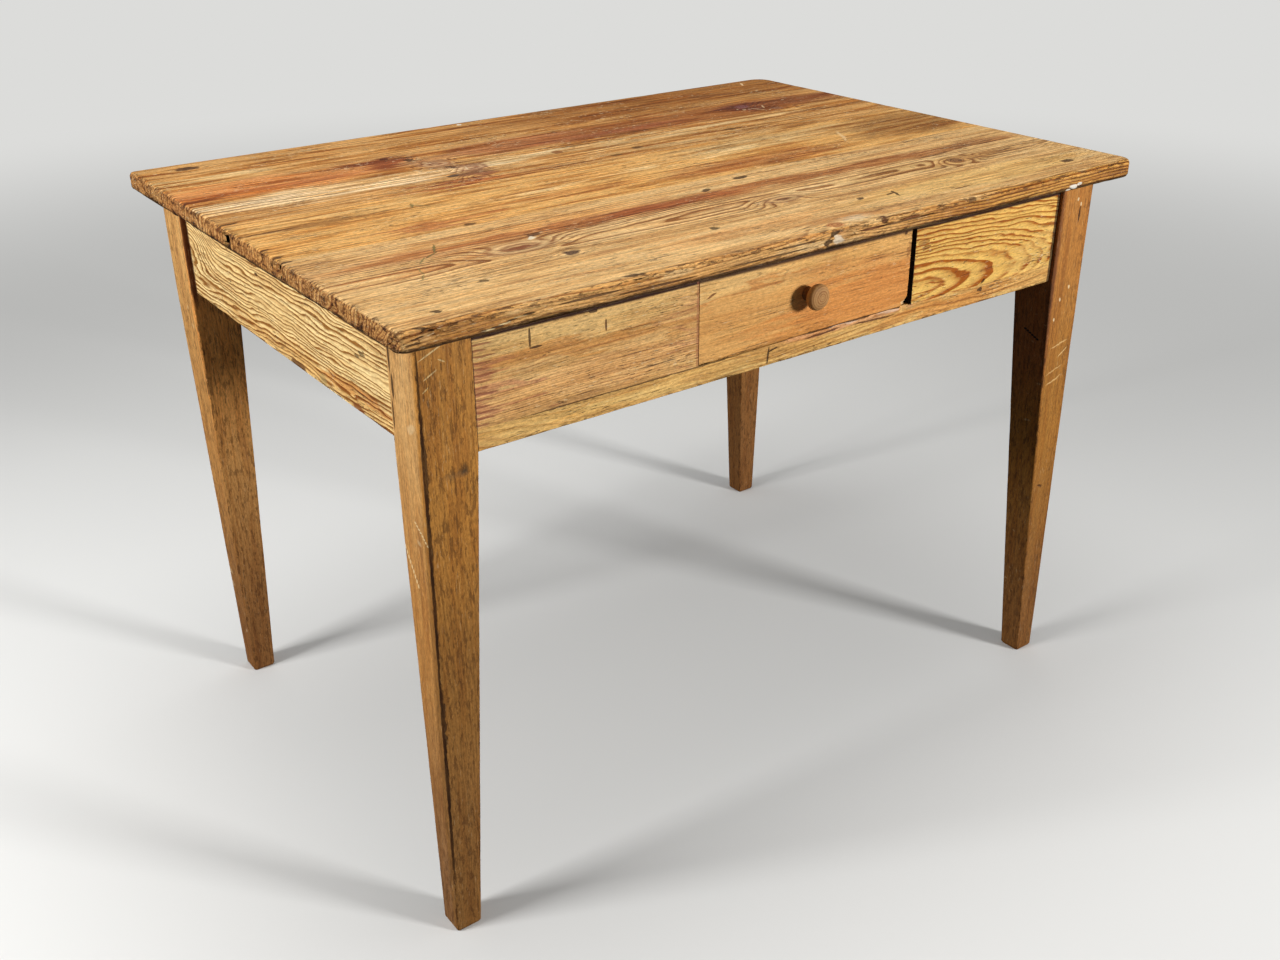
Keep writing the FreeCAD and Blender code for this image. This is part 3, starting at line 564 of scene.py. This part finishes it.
rail = take("front_rail", "rail")
score(rail, 0, steps(*BETWEEN_FRONT, 6))
score(rail, 2, (605.2, 607, 610, 613, 616, 619, 622, 625, 626.8))
wear(rail, board_faces("front_rail", ("-y", "-z"), *BETWEEN_FRONT, 0), 1.6, rag=0.8, fibre=(50, 50, 5),
     chips=[((x, -340, 628), (long, 9, high), deep) for x, long, high, deep in (
         (50, 14, 3.5, 4), (118, 24, 3, 3.5), (-20, 18, 2.5, 2.5), (158, 9, 5, 5))])
rail.data.materials.append(pine(
    "waxed_pine_rail", FACE, *ON_FACE, (560, 30), 4.2, "#deb26a", lines=0.55, late=(0.5, 0.32, 0.16),
    seed=9, streaks=0.7, relief=0.5,
    tones=[
        spot(250, 612, 200, 14, "#cf9048", 0.8),
        spot(60, 627, 125, 6, "#d89c6c", 0.8, soft=0.4, drift=0.4),
        spot(-200, 618, 200, 8, "#e8c27a", 0.7)],
    marks=[
        spot(-65, 616, 1.6, 12, "#2a1408", turn=-6, crisp=True),
        spot(-57, 622, 8, 1.4, "#2a1408", turn=10),
        spot(296, 622, 4, 3.5, "#3a1c0a"),
        spot(20, 624, 34, 1.4, "#5a2c14", turn=2),
        spot(104, 622.5, 40, 1.3, "#5a2c14", turn=-2),
        spot(52, 628, 30, 1.6, "#e8c6a8", 0.7, turn=-1, rise=0),
        spot(130, 627, 24, 1.8, "#e8c6a8", 0.7, turn=1, rise=0),
        spot(-250, 627.5, 180, 1.3, "#4a2a12", 0.8),
        spot(-447.5, 616, 2.6, 60, "#2a1408", **CLEAN_EDGE),
        spot(433.5, 616, 3.4, 60, "#2a1408", **CLEAN_EDGE)]))
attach(rail, "frame")

PANELS = {
    "left": dict(ends=(-448, -167), worn_sides=("-y",), wood=dict(
        colour="#dcb070", heart=(900, 60), spacing=2.9, seed=10, lines=0.45, sway=(8, 6, 1.6),
        late=(0.52, 0.34, 0.24), streaks=0.6,
        tones=[
            spot(-330, 718, 200, 26, "#e2bc78", 0.7),
            spot(-330, 690, 260, 10, "#c88a42", 0.6, turn=-4),
            spot(-300, 652, 230, 26, "#ecba78", 0.8, lines=0.8),
            spot(-440, 660, 34, 60, "#c07c58", 0.6),
            spot(-172, 668, 22, 60, "#c89060", 0.6)],
        marks=[
            *[spot(-439 + 2 * (n % 3), 632 + 6.5 * n, 11 + 4 * (n % 3), 1.4, "#8c4c34", 0.7, turn=-3,
                   rise=-1) for n in range(15)],
            *[spot(*place, "#3a1c0c", crisp=True) for place in (
                (-381, 710, 1.5, 13), (-374, 699, 9, 1.4), (-366, 724, 7, 1.4))],
            spot(-324, 728, 1.6, 5, "#2a1408", crisp=True),
            spot(-303, 722, 5, 3.5, "#2a1408"),
            spot(-289, 703, 1.5, 8, "#5a3012", crisp=True),
            # Painted shade with dirt: a dark band under the top's overhang.
            spot(-308, 738, 900, 17.7, "#34180a", 1, soft=0.14, **CLEAN_EDGE),
            # A dark joint line, partly painted shade from the leg standing 5 mm proud of the panel.
            spot(-447.5, 683, 2.8, 200, "#2a1408", **CLEAN_EDGE),
            spot(-168, 683, 2.2, 200, "#9c5a3c", 0.5, rise=0)])),
    "right": dict(ends=(167, 436), worn_sides=("-y", "-x"), wood=dict(
        colour="#ecbe64", heart=(647, -28.7), tilt=(0, 0.19), spacing=14.7, narrowing=1.5, seed=11,
        lines=1.6, sway=(4, 2.5, 3.4), late=(0.46, 0.20, 0.04), streaks=0.35, grit=0.7, relief=0.7,
        cracks=0.3,
        tones=[
            spot(182, 642, 16, 20, "#a85c18", 0.95, lines=0.3),
            spot(412, 652, 56, 40, "#e6bc6c", 0.7, lines=0.5),
            spot(300, 730, 200, 10, "#d8a454", 0.6)],
        marks=[
            spot(180, 704, 11, 4, "#8c4c12", 0.6),
            spot(186, 697, 9, 3, "#7c4210", 0.6),
            # Painted shade with dirt: a dark band under the top's overhang.
            spot(301, 738, 900, 17.7, "#34180a", 1, soft=0.14, **CLEAN_EDGE),
            # Painted shade: the panel's end face in the drawer's gap is painted near black.
            spot(166.6, 683, 1.6, 300, "#140a05", 1, deep=(12, 40), **CLEAN_EDGE),
            spot(434, 683, 4, 200, "#22100a", **CLEAN_EDGE),
            spot(298, 632, 4, 3, "#3a1c0a")])),
}
for side, look in PANELS.items():
    panel = take("front_panel_" + side, side + "_panel")
    score(panel, 0, steps(*look["ends"], 6, edge=(1, 3)))
    score(panel, 2, steps(628, UNDER_TOP, 4, edge=(1,)))
    shown = board_faces("front_panel_" + side, look["worn_sides"], *look["ends"], 0)
    wear(panel, shown, 0.8, rag=0.7, fibre=(60, 60, 7))
    panel.data.materials.append(pine("waxed_pine_" + panel.name, FACE, *ON_FACE, **look["wood"]))
    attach(panel, "frame")

# ---- Top ----
# Three wide pine boards, tongued and grooved along the table and fixed down to the aprons by blocks.
# Hands and pots have rounded the rim, and its end grain has checked and broken away in places.

TOP = {"left": -540, "right": 540, "front": -375, "back": 375, "under": UNDER_TOP, "over": 760}
CORNERS = {("left", "front"): 12, ("right", "front"): 22, ("right", "back"): 28, ("left", "back"): 8}
SPIKE = dict(reach=(46, 36), push=26, part=0.4)     # a branch that was sawn along its length
RINGED = dict(core=(30, 19), eye=True, colour="#8e5434", ring="#dcb284", rings=15, amount=0.6)
# Painted shade with grime along the underside arris of the ends, which faces down.
END_ARRIS_DIRT_AND_SHADE = spot(-542, 0, 16, 900, "#120903", deep=(25, 9), crisp=True, rise=-0.5)

# Places on the boards are along and across the top from its middle, and deep from its upper face.
back_tones = [
    spot(300, 320, 520, 90, "#a0692f"),
    spot(-460, 276, 120, 22, "#e6c68e", 0.7),
    spot(-410, 200, 260, 50, "#da9456", 0.9),
    spot(-440, 188, 200, 9, "#a85a2c", 0.6),
    spot(260, 196, 480, 56, "#9c602e", 0.9),
    spot(-60, 205, 160, 50, "#b0734a", 0.75),
    spot(120, 180, 150, 16, "#965338", 0.6),
    spot(-400, 122, 290, 40, "#f6daac", 1, lines=1.2),
    spot(-120, 130, 110, 24, "#ecd2a2", 0.9, lines=0.8),
    spot(150, 118, 330, 20, "#e0be88", turn=5, lines=0.6),
    spot(60, 135, 60, 18, "#dcc08e", 0.7),
    spot(190, 72, 230, 46, "#c9a26c", 0.8, lines=0.2),
    spot(430, 195, 110, 40, "#8c5430", 0.8),
    spot(420, 120, 130, 8, "#7c4c26", 0.6, turn=2),
    spot(330, 268, 170, 12, "#c8985a", 0.7, turn=-1),
    spot(400, 300, 120, 7, "#744422", 0.6),
    spot(-262, 205, 40, 44, "#8e4a26", 0.95, drift=0.4),
    spot(-250, 232, 50, 22, "#7c3c1c", 0.8),
    spot(-190, 56, 110, 14, "#b3682f", 0.9),
    spot(-225, 66, 36, 20, "#a85c34", 0.8, turn=-20),
    spot(-206, 168, 30, 46, "#b48a62", 0.9, turn=28, lines=1.6, drift=0.4),
    spot(-178, 122, 22, 42, "#a87c5a", 0.9, turn=6, lines=1.6, drift=0.4),
    spot(-192, 84, 28, 26, "#9c6848", 0.9, turn=-35, lines=1.4, drift=0.4),
    spot(356, 198, 44, 34, "#7c4636", 0.9, turn=20, lines=0.8, drift=0.4)]
back_knots = [
    dict(at=(-474, 342), reach=(60, 34), push=9, core=(19, 11), colour="#3a2012", ring="#6a4426"),
    dict(at=(-238, 208), **SPIKE),
    dict(at=(-205, 166), **SPIKE, **RINGED),
    dict(at=(-176, 122), **SPIKE, **RINGED),
    dict(at=(-190, 82), **SPIKE),
    dict(at=(352, 204), reach=(80, 56), push=26, core=(17, 13), turn=20, colour="#5c3432",
        ring="#94605a", amount=0.8),
    dict(at=(390, 164), reach=(70, 40), push=18, core=(15, 8), turn=-20, colour="#503028",
        ring="#a87c5c", amount=0.8)]
back_marks = [
    spot(-222, 208, 8, 8),
    spot(-246, 232, 7, 5, "#4a1e0e"),
    spot(-218, 98, 10, 5.5, "#4b3a32"),
    spot(-196, 140, 4, 12, "#4a3020", 0.8, turn=30),
    spot(-184, 122, 1.8, 10, "#e6cca0", 0.7, turn=-20, rise=0.5),
    spot(-212, 178, 1.8, 10, "#e6cca0", 0.7, turn=35, rise=0.5),
    spot(240, 93, 22, 4.5, "#5f401d"),
    spot(60, 82, 12, 7, "#5f4120"),
    spot(14, 63, 11, 5, "#6f4c22"),
    spot(-40, 126, 10, 9, "#8a5428"),
    spot(-528, 56, 16, 3, turn=10, deep=(0, 30)),
    END_ARRIS_DIRT_AND_SHADE,
    spot(362, 176, 2, 14, "#e0c090", 0.7, turn=25, rise=0.3),
    spot(380, 186, 2, 12, "#e0c090", 0.7, turn=-30, rise=0.3),
    spot(474, 348, 2.6, 14, "#ecc89a", turn=-30, rise=-0.3),
    spot(-60, 360, 4, 5, "#f4ead4", rise=0)]
middle_tones = [
    spot(-450, 0, 110, 10, "#8c5c28", 0.8),
    spot(-330, -86, 80, 26, "#b87440", 0.8),
    spot(-400, 24, 200, 18, "#e2bc7e", 0.7),
    spot(-480, -60, 90, 26, "#e0b06a", 0.7),
    spot(130, -78, 190, 34, "#b67a42", 0.9),
    spot(200, 10, 190, 44, "#caa873", lines=0.2),
    spot(460, -30, 170, 90, "#a87c46", 0.9),
    spot(0, -22, 420, 7, "#eccb92", turn=3.5),
    spot(-160, -60, 160, 12, "#c4884a", 0.6)]
middle_marks = [
    spot(-318, -4, 16, 2.2, "#7b7040", 0.7, turn=-28),
    spot(-326, 2, 12, 2.2, "#7b7040", 0.7, turn=70),
    spot(-311, -108, 9, 6, "#5a3a1c"),
    spot(-500, -2, 38, 3, "#6a4220", 0.8, turn=2),
    spot(-534, -95, 8, 5, deep=(0, 20)),
    spot(-537, 37, 12, 6, "#352012", deep=(12, 12)),
    spot(-534, -62, 7, 2.5, deep=(0, 20)),
    END_ARRIS_DIRT_AND_SHADE,
    spot(330, -40, 3, 40, "#ecd0a0", 0.5, turn=-30, rise=-0.3)]
front_tones = [
    spot(-150, -178, 560, 26, "#b8763f", 0.95, soft=0.7),
    spot(300, -182, 400, 24, "#b27a46", 0.95, soft=0.9),
    spot(330, -176, 210, 6, "#8c5228", 0.7, turn=-1),
    spot(430, -190, 90, 8, "#7c4c26", 0.6, turn=2),
    spot(-110, -180, 130, 15, "#9c542c", 0.75),
    spot(-260, -152, 200, 16, "#d49a56", 0.8),
    spot(0, -226, 760, 38, "#e8c48c", 0.7, lines=1.4),
    spot(-420, -225, 80, 14, "#dc9c5a", 0.6),
    spot(300, -232, 200, 30, "#cda468", 0.7, lines=0.9),
    spot(-90, -312, 150, 24, "#d8a366", 0.6, lines=0.4),
    spot(40, -342, 110, 20, "#c08448", 0.7, lines=0.5),
    spot(300, -310, 260, 44, "#dcb470", 0.8, lines=0.35),
    spot(0, -318, 800, 52, lines=0.3),
    spot(-305, -217, 130, 48, "#d8ac70", 0.5, lines=1.8, drift=0.4),
    spot(-110, -214, 170, 34, lines=2, drift=0.4),
    spot(340, -232, 150, 44, lines=1.9, drift=0.4),
    spot(0, -377, 1200, 9, "#dca65e", 0.8, deep=(0, 60), lines=1),
    spot(360, -376, 300, 14, "#d09a4a", 0.9, deep=(0, 60), lines=2),
    spot(-470, -377, 70, 8, "#b8803e", 0.8, deep=(0, 60), drift=0.4)]
front_knots = [
    dict(at=(-313, -217), reach=(112, 38), push=27, part=0.3, core=(56, 25), eye=True,
        colour="#92603a", ring="#e2ba82", rings=17.5, amount=0.7),
    dict(at=(-281, -267), reach=(36, 24), push=8, core=(11, 9), colour="#33241c", ring="#6a4a34"),
    dict(at=(38, -242), reach=(74, 34), push=20, part=0.3, core=(38, 17), eye=True,
        colour="#8c6040", ring="#d8ae76", rings=14, amount=0.65),
    dict(at=(346, -235), reach=(64, 36), push=24, core=(15, 12), colour="#4c2c1a", ring="#a87848"),
    dict(at=(11, -359), reach=(120, 50), push=26, core=(14, 12), colour="#8a4c24", ring="#c48a54"),
    dict(at=(460, -326), reach=(40, 24), push=8, core=(14, 7), colour="#33200f", ring="#6a4a2c")]
front_marks = [
    spot(-314, -218, 20, 7, "#7c3f1e", 0.9, rise=-0.6),
    spot(38, -242, 9, 4, "#6a4026", 0.9, rise=-0.6),
    spot(65, -132, 16, 6),
    spot(-8, -155, 9, 4, turn=20),
    spot(-104, -287, 8, 6, "#4a3a22"),
    spot(-401, -292, 7, 4, "#5a4526"),
    spot(-482, -344, 5, 5),
    spot(-272, -368, 17, 4, turn=-12, deep=(0, 5)),
    spot(112, -296, 8, 4.5, turn=25),
    spot(163, -304, 14, 2.4, turn=70),
    spot(156, -302, 9, 2.2, turn=10),
    spot(76, -369, 8, 9, "#4a1e10", deep=(3, 5)),
    spot(48, -352, 36, 15, "#e8d6b2", 0.5, soft=1, rise=0),
    spot(0, -370, 13, 13, "#2a160a", deep=(5, 3.2)),
    spot(-12, -371, 6, 12, "#3a2210", deep=(13, 6)),
    spot(3, -371, 10, 13, "#eed8b8", 0.95, deep=(12.5, 6), rise=-0.4),
    spot(56, -375, 24, 9, "#6a3014", deep=(8, 1.6)),
    spot(118, -376, 26, 6, "#6a3014", deep=(6, 1.5)),
    # Painted shade with grime along the underside arris of the front edge, which faces down.
    spot(0, -377, 1600, 16, "#120903", deep=(25, 9.5), crisp=True, rise=-0.5),
    END_ARRIS_DIRT_AND_SHADE,
    *[spot(x, -375, long, 6, "#4a2812", 0.8, deep=(down, high)) for x, long, down, high in (
        (-330, 46, 9, 1.3), (-250, 60, 14, 1.2), (-100, 70, 13, 1.1), (-60, 40, 7, 1.1),
        (110, 60, 8, 1.2))],
    *[spot(-446 + 9 * n, -375, 9, 6, "#2e1a0c" if n % 2 else "#ecd29c",
          deep=(17 - 1.3 * n, 1.1), rise=-1) for n in range(6)],
    *[spot(-300 + 31 * n + 9 * (n % 3), -371 - 1.5 * (n % 2), 4 + 2.5 * (n * 5 % 3), 1.6, "#2c180b",
          deep=(2 + 2.2 * (n * 2 % 3), 1.5)) for n in range(10)],
    *[spot(*streak) for streak in (
        (-388, -166, 18, 1.7, "#6a6434", 0.8, 62), (-400, -184, 16, 1.5, "#6a6434", 0.75, 34),
        (-418, -196, 14, 1.3, "#7c7442", 0.7, 50), (-436, -226, 14, 1.2, "#7c7442", 0.6, 80),
        (-444, -246, 12, 1.2, "#7c7442", 0.6, 58))],
    spot(-285, -196, 9, 4, "#f1e2c4", turn=40, rise=0),
    spot(-276, -186, 9, 5, "#5a3418", turn=10),
    spot(-532, -116, 9, 2.6, deep=(0, 20)),
    spot(-516, -372, 10, 1.6, "#201008", turn=-14, deep=(2, 4)),
    spot(-503, -372, 8, 2, "#2a160a", turn=8, deep=(5, 1.6)),
    spot(-518, -374, 11, 4, "#3a2210", deep=(9, 0.8)),
    spot(-530, -366, 2, 5, "#201008", turn=20, deep=(6, 5)),
    spot(-524, -374, 9, 4, "#3a2210", deep=(13.5, 0.9)),
    spot(-492, -370, 6, 1.2, "#38200f", turn=-20, deep=(1, 3)),
    *[spot(x, -374, long, 6, shade, deep=deep, rise=0.4) for x, long, shade, deep in (
        (412, 9, "#f6f0e2", (17, 3.5)), (424, 6, "#f6f0e2", (15, 2.5)), (402, 5, "#efe4d0", (20, 2)))],
    spot(250, -334, 22, 2, "#6a4220", 0.8, turn=4)]
BOARDS = {
    "back": dict(
        ends=(45, 375), heart=(160, 8), colour="#d0a062", seed=21, lines=0.7, streaks=1.3, scuffs=0.9,
        tones=back_tones, knots=back_knots, marks=back_marks),
    "middle": dict(
        ends=(-112, 45), heart=(-330, 30), colour="#dcab66", seed=22, lines=0.4, streaks=1.1,
        tones=middle_tones, marks=middle_marks),
    "front": dict(
        ends=(-375, -112), heart=(-228, 9), colour="#dfb77c", seed=23, lines=0.7, streaks=0.75,
        lean=spot(0, -375, 1500, 90, amount=-1.7), tones=front_tones, knots=front_knots,
        marks=front_marks),
}
CHIPS = [((x, -375, z), (long, 12, high), deep) for x, z, long, high, deep in (
    (11, 757, 20, 10, 7), (-4, 742, 14, 8, 4), (-272, 759, 20, 5, 4), (80, 758, 14, 6, 3.5),
    (-410, 745, 14, 4, 2.5), (-508, 752, 12, 6, 3.5), (300, 741, 40, 4, 2.5), (-380, 740, 40, 4, 2.5),
    (150, 755, 26, 4, 2.5), (-150, 742, 50, 4, 2))]
CHIPS += [((-540, y, z), (14, wide, high), deep) for y, z, wide, high, deep in (
    (37, 749, 9, 15, 6), (-110, 752, 7, 12, 6), (-342, 750, 9, 8, 4), (-365, 745, 7, 7, 5),
    (58, 757, 9, 4, 5), (-62, 755, 4, 8, 4), (-250, 744, 16, 6, 2.5), (290, 742, 26, 6, 3),
    (-300, 747, 3, 12, 4), (-12, 745, 3, 9, 3))]


def top_faces(point):
    """How far in from the top's rim, its upper face and its underside a point is."""
    side = "left" if point.x < 0 else "right"
    end = "front" if point.y < 0 else "back"
    radius = CORNERS[side, end]
    out_x = -1 if side == "left" else 1
    out_y = -1 if end == "front" else 1
    from_x = (TOP[side] - point.x) * out_x
    from_y = (TOP[end] - point.y) * out_y
    if from_x < radius and from_y < radius:
        spoke = Vector(((radius - from_x) * out_x, (radius - from_y) * out_y, 0))
        rim = (radius - spoke.length, spoke.normalized())
    elif from_x < from_y:
        rim = (from_x, Vector((out_x, 0, 0)))
    else:
        rim = (from_y, Vector((0, out_y, 0)))
    up = Vector((0, 0, 1))
    return [rim, (TOP["over"] - point.z, up), (point.z - TOP["under"], -up)]


for name, look in BOARDS.items():
    board = take("top_board_" + name, name + "_board")
    score(board, 1, steps(*look.pop("ends"), 7, edge=(1.5, 3.5)))
    score(board, 0, steps(TOP["left"], TOP["right"], 6, edge=(1.5, 3.5, 6, 9)))
    score(board, 2, steps(TOP["under"], TOP["over"], 1.4, edge=(0.7,)))
    wear(board, top_faces, 4, rag=1.2, chips=CHIPS)
    board.data.materials.append(pine(
        "waxed_pine_" + board.name, (0, 0, TOP["over"]), (1, 0, 0), (0, 1, 0), (0, 0, -1), spacing=6,
        late=(0.42, 0.27, 0.16), relief=0.9, **look))
    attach(board, "frame")

# ---- Drawer front ----
# The drawer's front is fine, straight-grained pine, planed flush with the panels. Its right-hand
# bottom corner is knocked off, and the seam on its right has opened.

drawer_front = take("drawer_front", "drawer_face")
score(drawer_front, 0, steps(-166, 160, 6, edge=(1, 2.5)))
score(drawer_front, 2, steps(629, 737, 4, edge=(1, 2.5)))
shown = board_faces("drawer_front", ("-y", "+x", "-z", "+z"), -166, 160, 0)
wear(drawer_front, shown, 1.2, rag=0.4, fibre=(80, 80, 8), chips=[((158, -340, 631), (7, 9, 7), 5)])
drawer_front.data.materials.append(pine(
    "waxed_pine_drawer_face", FACE, *ON_FACE, (900, 60), 3, "#dca660", lines=0.22,
    late=(0.6, 0.42, 0.28), seed=12, streaks=0.5, grit=0.8, flecks=0.4, scuffs=0.3, relief=0.3,
    sway=(8, 6, 1.6),
    tones=[
        spot(-110, 716, 170, 26, "#e6bc78", 0.8),
        spot(90, 655, 180, 50, "#d48c46"),
        spot(60, 720, 140, 16, "#dcaa62", 0.6),
        spot(-90, 702, 120, 5, "#c88442", 0.7, turn=6),
        spot(-10, 634, 190, 6, "#d09048", 0.6)],
    marks=[
        spot(148, 722, 3, 2.4, "#3a1c0a"),
        spot(70, 628, 160, 3.2, "#241008", **CLEAN_EDGE),
        # Painted shade with grime: a dark band under the top's overhang.
        spot(-3, 738, 900, 18.2, "#34180a", 0.95, deep=(0, 3), soft=0.2, **CLEAN_EDGE),
        spot(156, 700, 3, 12, "#8a5426", 0.6),
        spot(-150, 705, 9, 1.3, "#7a4420", turn=20),
        spot(158, 632, 7, 6, "#ecc996", deep=(0, 12), rise=-0.6)]))
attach(drawer_front, "drawer")

# ---- Drawer knob ----
# A small knob turned from one piece of pine, its tenon glued through the drawer's front. The lathe has
# left fine rings on its cap, and fingers have rubbed its brim.

KNOB = (-8, -340, 679)      # mm, where its axis meets the drawer's face
TURNED = [                  # mm: radius, and distance out of the face
    (6, -19), (6, -1), (8.4, -0.4), (8.6, 0.4), (7.4, 2.2), (6.8, 4.4), (7, 7), (8.8, 10),
    (12.4, 11.8), (14.8, 13.6), (15.6, 15.8), (15.7, 18), (15, 20.2), (14.2, 21.2), (13.2, 22.4),
    (9.6, 23.5), (5, 24), (1.5, 24)]
bpy.ops.object.select_all(action="DESELECT")
width, out = 6, -20         # mm, the tenon's inner end
bpy.ops.mesh.primitive_circle_add(
    vertices=32, radius=width * MM, fill_type="NGON", rotation=(math.radians(90), 0, 0),
    location=(KNOB[0] * MM, (KNOB[1] - out) * MM, KNOB[2] * MM))
knob = bpy.context.object
knob.name = "turned_knob"
bpy.ops.object.mode_set(mode="EDIT")
bpy.ops.mesh.select_all(action="SELECT")
for next_width, next_out in TURNED:
    bpy.ops.mesh.extrude_region_move(TRANSFORM_OT_translate={"value": (0, (out - next_out) * MM, 0)})
    bpy.ops.transform.resize(
        value=[next_width / width] * 3,
        center_override=(KNOB[0] * MM, (KNOB[1] - next_out) * MM, KNOB[2] * MM))
    width, out = next_width, next_out
bpy.ops.mesh.select_all(action="SELECT")
bpy.ops.mesh.normals_make_consistent(inside=False)
bpy.ops.object.mode_set(mode="OBJECT")
bpy.ops.object.transform_apply(location=True, rotation=True, scale=True)
rounding = knob.modifiers.new("rounding", "SUBSURF")
rounding.levels = rounding.render_levels = 2
bpy.ops.object.modifier_apply(modifier="rounding")
knob.data.polygons.foreach_set("use_smooth", [True] * len(knob.data.polygons))
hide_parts("drawer_knob")
# Polished by fingers: smoother and glossier than the boards, and dark at the neck.
knob.data.materials.append(pine(
    "turned_pine", KNOB, (0, 1, 0), (1, 0, 0), (0, 0, 1), (1, 0.5), 2.6, "#b48856", lines=0.5,
    late=(0.66, 0.5, 0.36), sway=(0.6, 0.6, 0.3), seed=31, rough=0.38, scratches=0.1, streaks=0.3,
    grit=0.2, relief=0.15, flecks=0, scuffs=0, cracks=0,
    tones=[spot(0, 0, 11, 40, "#7a4a24", 0.8, drift=0)]))
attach(knob, "drawer")

# ---- Drawer box and runners ----
# The parts that nobody sees are bare sawn pine, gone tan with age: the dovetailed drawer behind its
# front, the runners and guides it slides on, its stops and the blocks glued under the top.

INSIDE = {
    "drawer": ["drawer_side_left", "drawer_side_right", "drawer_back", "drawer_bottom"],
    "frame": [
        "drawer_runner_left", "drawer_runner_right", "drawer_guide_left", "drawer_guide_right",
        "drawer_stops", "glue_blocks"],
}
BARE = dict(        # never waxed, so it is dull and even, with the saw's fuzz
    heart=(30, -60), spacing=4.4, colour="#c49a66", lines=0.6, late=(0.5, 0.34, 0.22), rough=0.72,
    relief=0.3, scuffs=0.3, streaks=0.7)
for number, (body, nodes) in enumerate(INSIDE.items()):
    for node in nodes:
        inner = take(node, "bare_" + node)
        arrises = inner.modifiers.new("arrises", "BEVEL")
        arrises.width = 0.5 * MM
        arrises.segments = 2
        arrises.limit_method = "ANGLE"
        arrises.angle_limit = math.radians(40)
        bpy.ops.object.modifier_apply(modifier="arrises")
        smooth(inner)
        low, high = (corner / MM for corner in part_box(node))
        lengthwise = (1, 0, 0) if high.x - low.x > high.y - low.y else (0, 1, 0)
        crosswise = (0, 1, 0) if lengthwise[0] else (1, 0, 0)
        long, wide = (high - low).dot(Vector(lengthwise)), (high - low).dot(Vector(crosswise))
        nails = []
        if node == "drawer_bottom":
            nails = [(long - 8, wide * share, 0) for share in (0.15, 0.5, 0.85)]
        elif "guide" in node:
            nails = [(long * share, wide / 2, high.z - low.z) for share in (0.2, 0.8)]
        inner.data.materials.append(pine(
            "bare_pine_" + node, low, lengthwise, crosswise, (0, 0, 1), seed=40 + len(node) + number,
            marks=[spot(x, y, 2.4, 2.4, "#2c241e", deep=(z, 2), crisp=True, soft=0.2, rise=-0.6)
                   for x, y, z in nails], **BARE))
        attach(inner, body)

# ---- Studio ----
# A plain pale floor that fades into the background, two large lamps at the sides and one overhead.

bpy.ops.object.select_all(action="DESELECT")
bpy.ops.mesh.primitive_plane_add(size=30, location=(0, 0, 0))
floor = bpy.context.object
floor.name = "floor"
# Matt pale paint: darker where it lights the table from below than where the camera sees it.
pale = bpy.data.materials.new("pale_floor")
pale.use_nodes = True
tree = pale.node_tree
seen = add(tree, "LightPath", output="Is Camera Ray")
shade = add(tree, "Mix", {0: seen, 6: "#4c4c4b", 7: "#dededc"}, **BLEND)
paint = tree.nodes["Principled BSDF"]
tree.links.new(shade, paint.inputs["Base Color"])
paint.inputs["Roughness"].default_value = 0.9
far = add(tree, "TexCoord", output="Object")
far = add(tree, "VectorMath", (far,), "LENGTH", output="Value")
far = add(tree, "MapRange", (far, 1.2, 4.5), **EASED)
far = add(tree, "Math", (far, seen), "MULTIPLY")
glow = add(tree, "Emission", {"Color": "#dcdcda", "Strength": 1})
whole = add(tree, "MixShader", (far, paint.outputs[0], glow))
tree.links.new(whole, tree.nodes["Material Output"].inputs["Surface"])
floor.data.materials.append(pale)

world = bpy.data.worlds.new("studio")
world.use_nodes = True
bpy.context.scene.world = world
tree = world.node_tree
background = tree.nodes["Background"]
seen = add(tree, "LightPath", output="Is Camera Ray")
strength = add(tree, "MapRange", {0: seen, 3: 0.16, 4: 0.85})
tree.links.new(strength, background.inputs["Strength"])
background.inputs["Color"].default_value = linear("#f2f2f0")


def lamp(name, place, aim, size, power):
    """A soft rectangular lamp at a place, turned to its aim, in metres and watts."""
    light = bpy.data.lights.new(name, "AREA")
    light.shape = "RECTANGLE"
    light.size, light.size_y = size
    light.energy = power
    rig = bpy.data.objects.new(name, light)
    rig.location = place
    rig.rotation_euler = (Vector(aim) - Vector(place)).to_track_quat("-Z", "Y").to_euler()
    bpy.context.scene.collection.objects.link(rig)


lamp("key_left", (-2.9, 0.3, 1.7), (-0.5, 0, 0.68), (0.9, 0.9), 79)
lamp("key_right", (1.9, -3.7, 1.5), (0, -0.3, 0.6), (0.7, 0.7), 152)
lamp("overhead", (0.1, 0.2, 3), (0, 0, 0.76), (1.8, 1.8), 36)

camera = bpy.data.objects.new("camera", bpy.data.cameras.new("camera"))
camera.location = (-1.02696, -1.40333, 1.17660)
camera.rotation_euler = [math.radians(v) for v in (63.273, 0.333, -36.424)]
camera.data.lens = 37.602
camera.data.sensor_width = 36
bpy.context.scene.collection.objects.link(camera)
bpy.context.scene.camera = camera
bpy.context.scene.view_settings.view_transform = "Standard"
